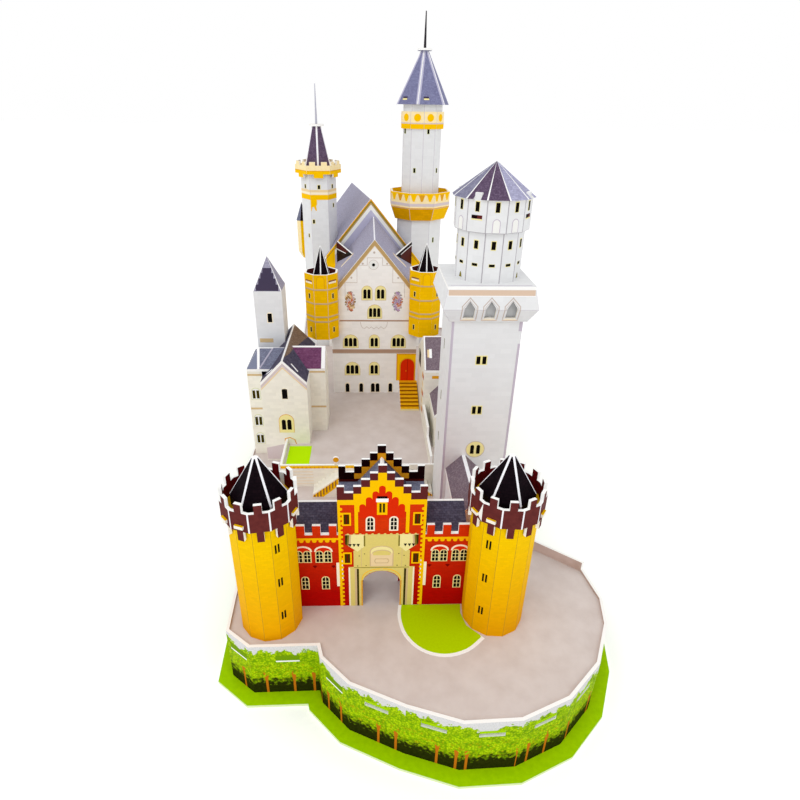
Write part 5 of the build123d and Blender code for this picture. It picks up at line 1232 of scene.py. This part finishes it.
def house_roof_prints():
    ridge = (-73.2, 0, 90.3)
    main = Sheet("left_house_roof_prints", "left_house_roof", ridge, (0, 1, 0), (-18, 0, 18.8))
    main.shape([(162, -0.8), (176, -4.5), (189, -6.5), (235.8, -17.0), (235.8, -0.8)],
               BROWN_ROOF)
    main.rect(155.6, 235.8, -0.9, -0.1, WHITE_INK, 1)
    main.line([(162.4, -9.2), (160.2, -15.2)], 1.7, WHITE_INK, 1)
    main.move(ridge, (0, -1, 0), (18, 0, 18.8))
    main.rect(-235.8, -155.6, -0.9, -0.1, WHITE_INK, 1)
    main.line([(-157.6, -12.6), (-161.0, -19.0)], 1.7, WHITE_INK, 1)
    annex = Sheet("annex_roof_prints", "annex_roof", (0, ANNEX_Y, 78.4), up=(0, 20, 10.1))
    annex.shape([(-102.7, 0.3), (-94.6, 0.3), (-96.3, 21.6)], BLUE_INK)
    annex.line([(-93.6, 0.6), (-96.0, 21.4)], 2.0, WHITE_INK, 1)
    annex.line([(-92.6, 1.0), (-84.8, 20.8)], 1.2, LAVENDER_INK, 1)
    annex.rect(-96.0, -84.0, 21.4, 22.2, WHITE_INK, 2)
    wing = Sheet("house_wing_roof_prints", "house_wing_roof", (0, WING_Y, 73.4), up=(0, 14.5, 14.1))
    wing.rect(-45.6, -42.5, 0.1, 20.2, WHITE_INK, 1)
    wing.rect(-69.0, -42.5, 18.8, 20.2, WHITE_INK, 2)


def side_tower_prints():
    shaft = Sheet("side_tower_prints", "side_tower_shaft")
    windows = {0: (-6.6, 154.2), 1: (1.4, 169.2), 5: (3.0, 139.0)}
    for number in range(6):
        shaft.move(*facet(*SIDE_TUBE, number))
        shaft.rect(-9.0, 9.0, 180.5, 185.4, BEIGE_INK)
        shaft.rect(-9.0, 9.0, 180.9, 183.0, PALE_INK, 1)
        shaft.rect(-9.0, 9.0, 175.7, 180.5, YELLOW_INK)
        shaft.slit((-1.7, 1.7, 185.9, 190.2), (-1.2, 1.2, 186.2, 189.9), CREAM_INK, 1)
        if number == 0:
            shaft.shape([(-9.0, 176), (-2.6, 176), (-2.6, 171.5), (-3.6, 169.6), (-3.1, 164.8),
                         (-4.5, 165.4), (-6.0, 168.8), (-7.6, 168.6), (-8.6, 164.8),
                         (-9.0, 164.8)], YELLOW_INK, 1)
        if number in windows:
            shaft.slit(around(*windows[number], 1.5, 2.2), around(*windows[number], 1.0, 1.8),
                       CREAM_INK)
    gallery = Sheet("side_gallery_prints", "side_tower_gallery")
    for number in range(6):
        gallery.move(*facet(*SIDE_GALLERY_TUBE, number))
        gallery.rect(-11.6, 11.6, 200.5, 203.4, YELLOW_INK)
        gallery.rect(-4.6, 4.6, 197.1, 200.5, YELLOW_INK)
        gallery.rect(-11.6, 11.6, 203.4, 204.0, GOLD_INK)


def tall_tower_prints():
    shaft = Sheet("tall_tower_prints", "tall_tower_upper")
    windows = {0: (-1.1, 240.3), 8: (-3.5, 240.2), 9: (-1.9, 204.1), 1: (0.2, 203.7)}
    for number in range(10):
        shaft.move(*facet(*TALL_RING_TUBE, number))
        shaft.rect(-6.7, 6.7, 242.4, 246.9, YELLOW_INK)
        shaft.rect(-6.7, 6.7, 246.9, 248.0, PINK_INK)
        ring = [math.tau * step / 16 for step in range(16)]
        shaft.shape([(3.6 * math.cos(turn), 252.5 + 3.5 * math.sin(turn)) for turn in ring],
                    YELLOW_INK)
        shaft.move(*facet(*TALL_TUBE, number))
        if number in windows:
            x, z = windows[number]
            shaft.slit((x - 1.4, x + 1.4, z - 2.5, z + 2.3), (x - 1.0, x + 1.0, z - 2.2, z + 2.0),
                       MOSS_INK)
    low = Sheet("tall_tower_lower_prints", "tall_tower_lower", *facet(*TALL_FOOT_TUBE, 1))
    low.slit((-3.8, -1.0, 131.4, 137.1), (-3.4, -1.4, 132.0, 136.7), MOSS_INK)
    rail = Sheet("tall_gallery_prints", "tall_tower_gallery")
    for number in range(8):
        rail.move(*facet(*TALL_GALLERY_TUBE, number))
        rail.rect(-12.7, 12.7, 181.6, 183.2, YELLOW_INK, 1)
        for step in (-1, 0, 1):
            middle = 8.4 * step
            rail.shape([(middle - 3.2, 181.6), (middle + 3.2, 181.6), (middle + 0.9, 175.4),
                        (middle - 0.9, 175.4)], YELLOW_INK if step else GOLD_INK, 1)
        rail.rect(-12.7, 12.7, 170.6, 173.4, PINK_INK)
        rail.rect(-12.7, 12.7, 168.3, 169.0, GOLD_INK)
    cone = Sheet("tall_roof_prints", "tall_tower_roof")
    ridges(cone, TALL_TOWER, TALL_CONE, 2.2, PALE_SLATE_INK)
    ridges(cone, TALL_TOWER, TALL_CONE, 0.5, layer=1)
    for number in (-1, 0):
        cone.move(*slope(TALL_TOWER, TALL_CONE, number))
        cone.rect(-7.0, -1.6, 5.4, 7.4, SLATE_INK, 1)
        cone.rect(-7.0, -1.6, 4.2, 5.6, CREAM_INK, 2)


def range_prints():
    """Slot, window and ornaments of the right range beside the keep."""
    roof = Sheet("range_roof_prints", "range_roof", (0, RANGE_Y, 66.6), up=(0, 21.7, 22.4))
    roof.rect(44.2, 46.4, 11.0, 19.2, WHITE_INK)
    roof.rect(42.6, 44.2, 11.6, 18.6, BEIGE_INK)
    roof.rect(39.8, 41.0, 0.2, 31.0, WHITE_INK)
    roof.rect(41.0, 82.9, 30.2, 31.1, WHITE_INK)
    wall = Sheet("range_wall_prints", "range_walls", (39.7, 0, 0), (0, -1, 0))
    wall.arch(-238, -222, 54.0, 68.0, BLACK_INK, 0, 2.0)
    for number in range(5):
        low = 22.0 + 8.0 * number
        wall.rect(-204, -198, low, low + 5.0, BEIGE_INK if number % 2 else GOLD_INK)
        wall.rect(-196, -191, low + 2, low + 6.0, PALE_INK if number % 2 else ROSE_INK)
    wall.move((0, RANGE_Y, 0))
    wall.rect(46.4, 52.2, 58.8, 61.5, GOLD_INK)


def wall_slots():
    """Slots drawn flat on the walls at the left front, where floor tabs end behind the paper: the
    green tab darkened with painted shade, over a white cut edge.
    """
    for node, start, end, shift in (
            ("outer_wall_left", (-87.5, -18.0), (-73.0, -29.5), 0.0),
            ("outer_wall_left", (-73.0, -29.5), (-35.5, -29.0), 2.0),
            ("outer_wall_front", (-33.5, -36.5), (-18.0, -52.5), 0.0)):
        run = (end[0] - start[0], end[1] - start[1], 0)
        middle = math.hypot(*run) / 2 + shift
        sheet = Sheet(f"slot_tab_and_shade_{-start[0]:.0f}", node, (*start, 0), run)
        # the tab's green darkened as painted shade, then the white cut edge below it
        sheet.rect(middle - 6.5, middle + 6.5, -9.6, -5.6, SLOT_SHADE_INK)
        sheet.rect(middle - 6.5, middle + 6.5, -10.6, -9.6, WHITE_INK)


def smooth(points):
    """Rounded line through the given points, each stretch in four steps."""
    steps = 4
    line = []
    for number in range(len(points) - 1):
        before = points[max(number - 1, 0)]
        start, end = points[number], points[number + 1]
        after = points[min(number + 2, len(points) - 1)]
        for step in range(steps):
            t = step / steps
            line.append(tuple(0.5 * (2 * b + (c - a) * t + (2 * a - 5 * b + 4 * c - d) * t * t
                                     + (3 * b - a - 3 * c + d) * t ** 3)
                              for a, b, c, d in zip(before, start, end, after)))
    return line + [points[-1]]


def lawns():
    round_tower = [(55.0, -22.6), (48.4, -16.0), (46.2, -6.7), (47.1, -0.4)]
    outer = [(10.2, -0.4), (9.4, -10.0), (12.4, -22.4), (21.0, -32.4), (33.8, -36.4),
             (47.0, -33.2), (57.4, -24.9)]
    inner = [(12.0, -0.4), (11.3, -10.0), (14.2, -21.6), (22.2, -30.9), (33.8, -34.5),
             (46.0, -31.6), (55.6, -24.0)]
    court = Sheet("front_lawn", "front_court_floor", up=(0, 1, 0))
    court.shape(smooth(outer) + round_tower, WHITE_INK, 2)
    court.shape(smooth(inner) + round_tower, GREEN_INK, 4)
    upper = Sheet("upper_lawn", "upper_court_floor", (0, 0, COURT_Z), up=(0, 1, 0))
    upper.rect(-71.5, -53.5, 120.0, 152.0, BRIGHT_GREEN_INK)


def terrace_prints():
    wall = Sheet("terrace_prints", "retaining_wall", (0, TERRACE_Y, 0))
    wall.rect(-75, -12, 17.0, 19.8, YELLOW_INK)
    wall.rect(-75, -12, 19.2, 19.8, CREAM_INK, 1)
    for number in range(20):
        left = -74.6 + 3.15 * number
        wall.shape([(left, 17.1), (left + 1.9, 17.1), (left + 0.95, 18.7)], GOLD_INK, 1)
    wall.disc(-32.1, 24.6, 2.2, GOLD_INK, 0, 20)
    for height in (2.6, 5.4, 8.2, 11.0, 13.8):
        wall.rect(-75, -49.8, height, height + 0.25, BEIGE_INK)
    rail = Sheet("stair_rail_prints", "terrace_stairs", (0, STAIRS_Y, 0))
    for side, foot, top in ((-1, -49.3, -30.0), (1, 41.0, 21.7)):
        rail.shape([(foot, 0.3), (foot, 2.3), (top, 17.8), (top, 10.2), (foot - side * 8.0, 0.3)],
                   YELLOW_INK)
        rail.shape([(foot, 1.4), (foot, 2.5), (top, 18.0), (top, 16.9)], PALE_INK, 1)
        for number in range(8):
            share = (number + 0.6) / 8.4
            x = foot + (top - foot) * share
            z = 1.4 + 15.5 * share
            rail.rect(x - 0.45, x + 0.45, max(0.3, z - 5.6), z, RUST_INK, 1)
    rail.rect(-30, 21.7, 15.6, 17.8, GOLD_INK)
    rail.rect(-30, 21.7, 17.0, 18.0, PALE_INK, 1)


for draw in (gate_prints, tower_prints, keep_prints, palace_prints, far_palace_prints,
             gate_back_prints, far_wall_prints, step_prints, turret_prints, upper_gable_prints,
             house_prints, side_tower_prints, tall_tower_prints, range_prints, wall_slots, lawns,
             terrace_prints):
    draw()
for sheet in SHEETS:
    sheet.finish()


# Camera, light and floor

# Fitted to level and upright edges in the photograph; angles in degrees
CAMERA_PLACE = (-6.976, -239.524, 263.664)
CAMERA_PITCH, CAMERA_ROLL, CAMERA_YAW = 27.715, 0.878, 2.218
CAMERA_LENS, CAMERA_SHIFT = 25.32, 0.0148


def camera():
    data = bpy.data.cameras.new("camera")
    data.lens = CAMERA_LENS
    data.sensor_width = 36.0
    data.shift_x = CAMERA_SHIFT
    data.clip_start = 0.01
    data.clip_end = 20.0
    holder = bpy.data.objects.new("camera", data)
    bpy.context.scene.collection.objects.link(holder)
    pitch, roll, yaw = map(math.radians, (CAMERA_PITCH, CAMERA_ROLL, CAMERA_YAW))
    forward = Vector((math.sin(yaw) * math.cos(pitch), math.cos(yaw) * math.cos(pitch),
                      -math.sin(pitch)))
    level = Vector((math.cos(yaw), -math.sin(yaw), 0))
    upright = level.cross(forward)
    right = math.cos(roll) * level + math.sin(roll) * upright
    up = -math.sin(roll) * level + math.cos(roll) * upright
    matrix = Matrix((right, up, -forward)).transposed().to_4x4()
    matrix.translation = place(*CAMERA_PLACE)
    holder.matrix_world = matrix
    bpy.context.scene.camera = holder


def lamp(name, size, power, location, target, colour=(1, 1, 1)):
    data = bpy.data.lights.new(name, "AREA")
    data.shape = "DISK"
    data.size = size
    data.energy = power
    data.color = colour
    holder = bpy.data.objects.new(name, data)
    bpy.context.scene.collection.objects.link(holder)
    holder.location = location
    holder.rotation_mode = "QUATERNION"
    holder.rotation_quaternion = (Vector(target) - Vector(location)).to_track_quat("-Z", "Y")


def seen_white(tree, more, base, socket):
    """A strength that is higher where the camera sees the background itself."""
    seen = add(tree, "ShaderNodeLightPath").outputs["Is Camera Ray"]
    put(tree, socket, compute(tree, "MULTIPLY_ADD", seen, more, base))


def studio():
    world = bpy.data.worlds.new("studio")
    bpy.context.scene.world = world
    world.use_nodes = True
    sky = world.node_tree.nodes["Background"]
    sky.inputs[0].default_value = (1.0, 1.0, 1.0, 1)
    seen_white(world.node_tree, 0.07, 0.93, sky.inputs[1])
    lamp("key", 0.9, 4.5, (-0.7, -1.0, 1.3), (0, -0.05, 0.1), (1.0, 0.99, 0.97))
    lamp("fill", 1.2, 1.2, (0.9, -0.8, 0.9), (0, 0, 0.1))
    floor = bpy.data.meshes.new("floor")
    floor.from_pydata([(-6, -6, 0), (6, -6, 0), (6, 9, 0), (-6, 9, 0)], [], [(0, 1, 2, 3)])
    holder = bpy.data.objects.new("floor", floor)
    bpy.context.scene.collection.objects.link(holder)
    material, tree, shader = start("floor_paper")
    shader.inputs["Base Color"].default_value = (0.98, 0.98, 0.98, 1)
    shader.inputs["Roughness"].default_value = 0.9
    shader.inputs["Emission Color"].default_value = (1, 1, 1, 1)
    seen_white(tree, 0.16, 0.0, shader.inputs["Emission Strength"])
    floor.materials.append(material)


camera()
studio()
bpy.context.scene.view_settings.view_transform = "Standard"
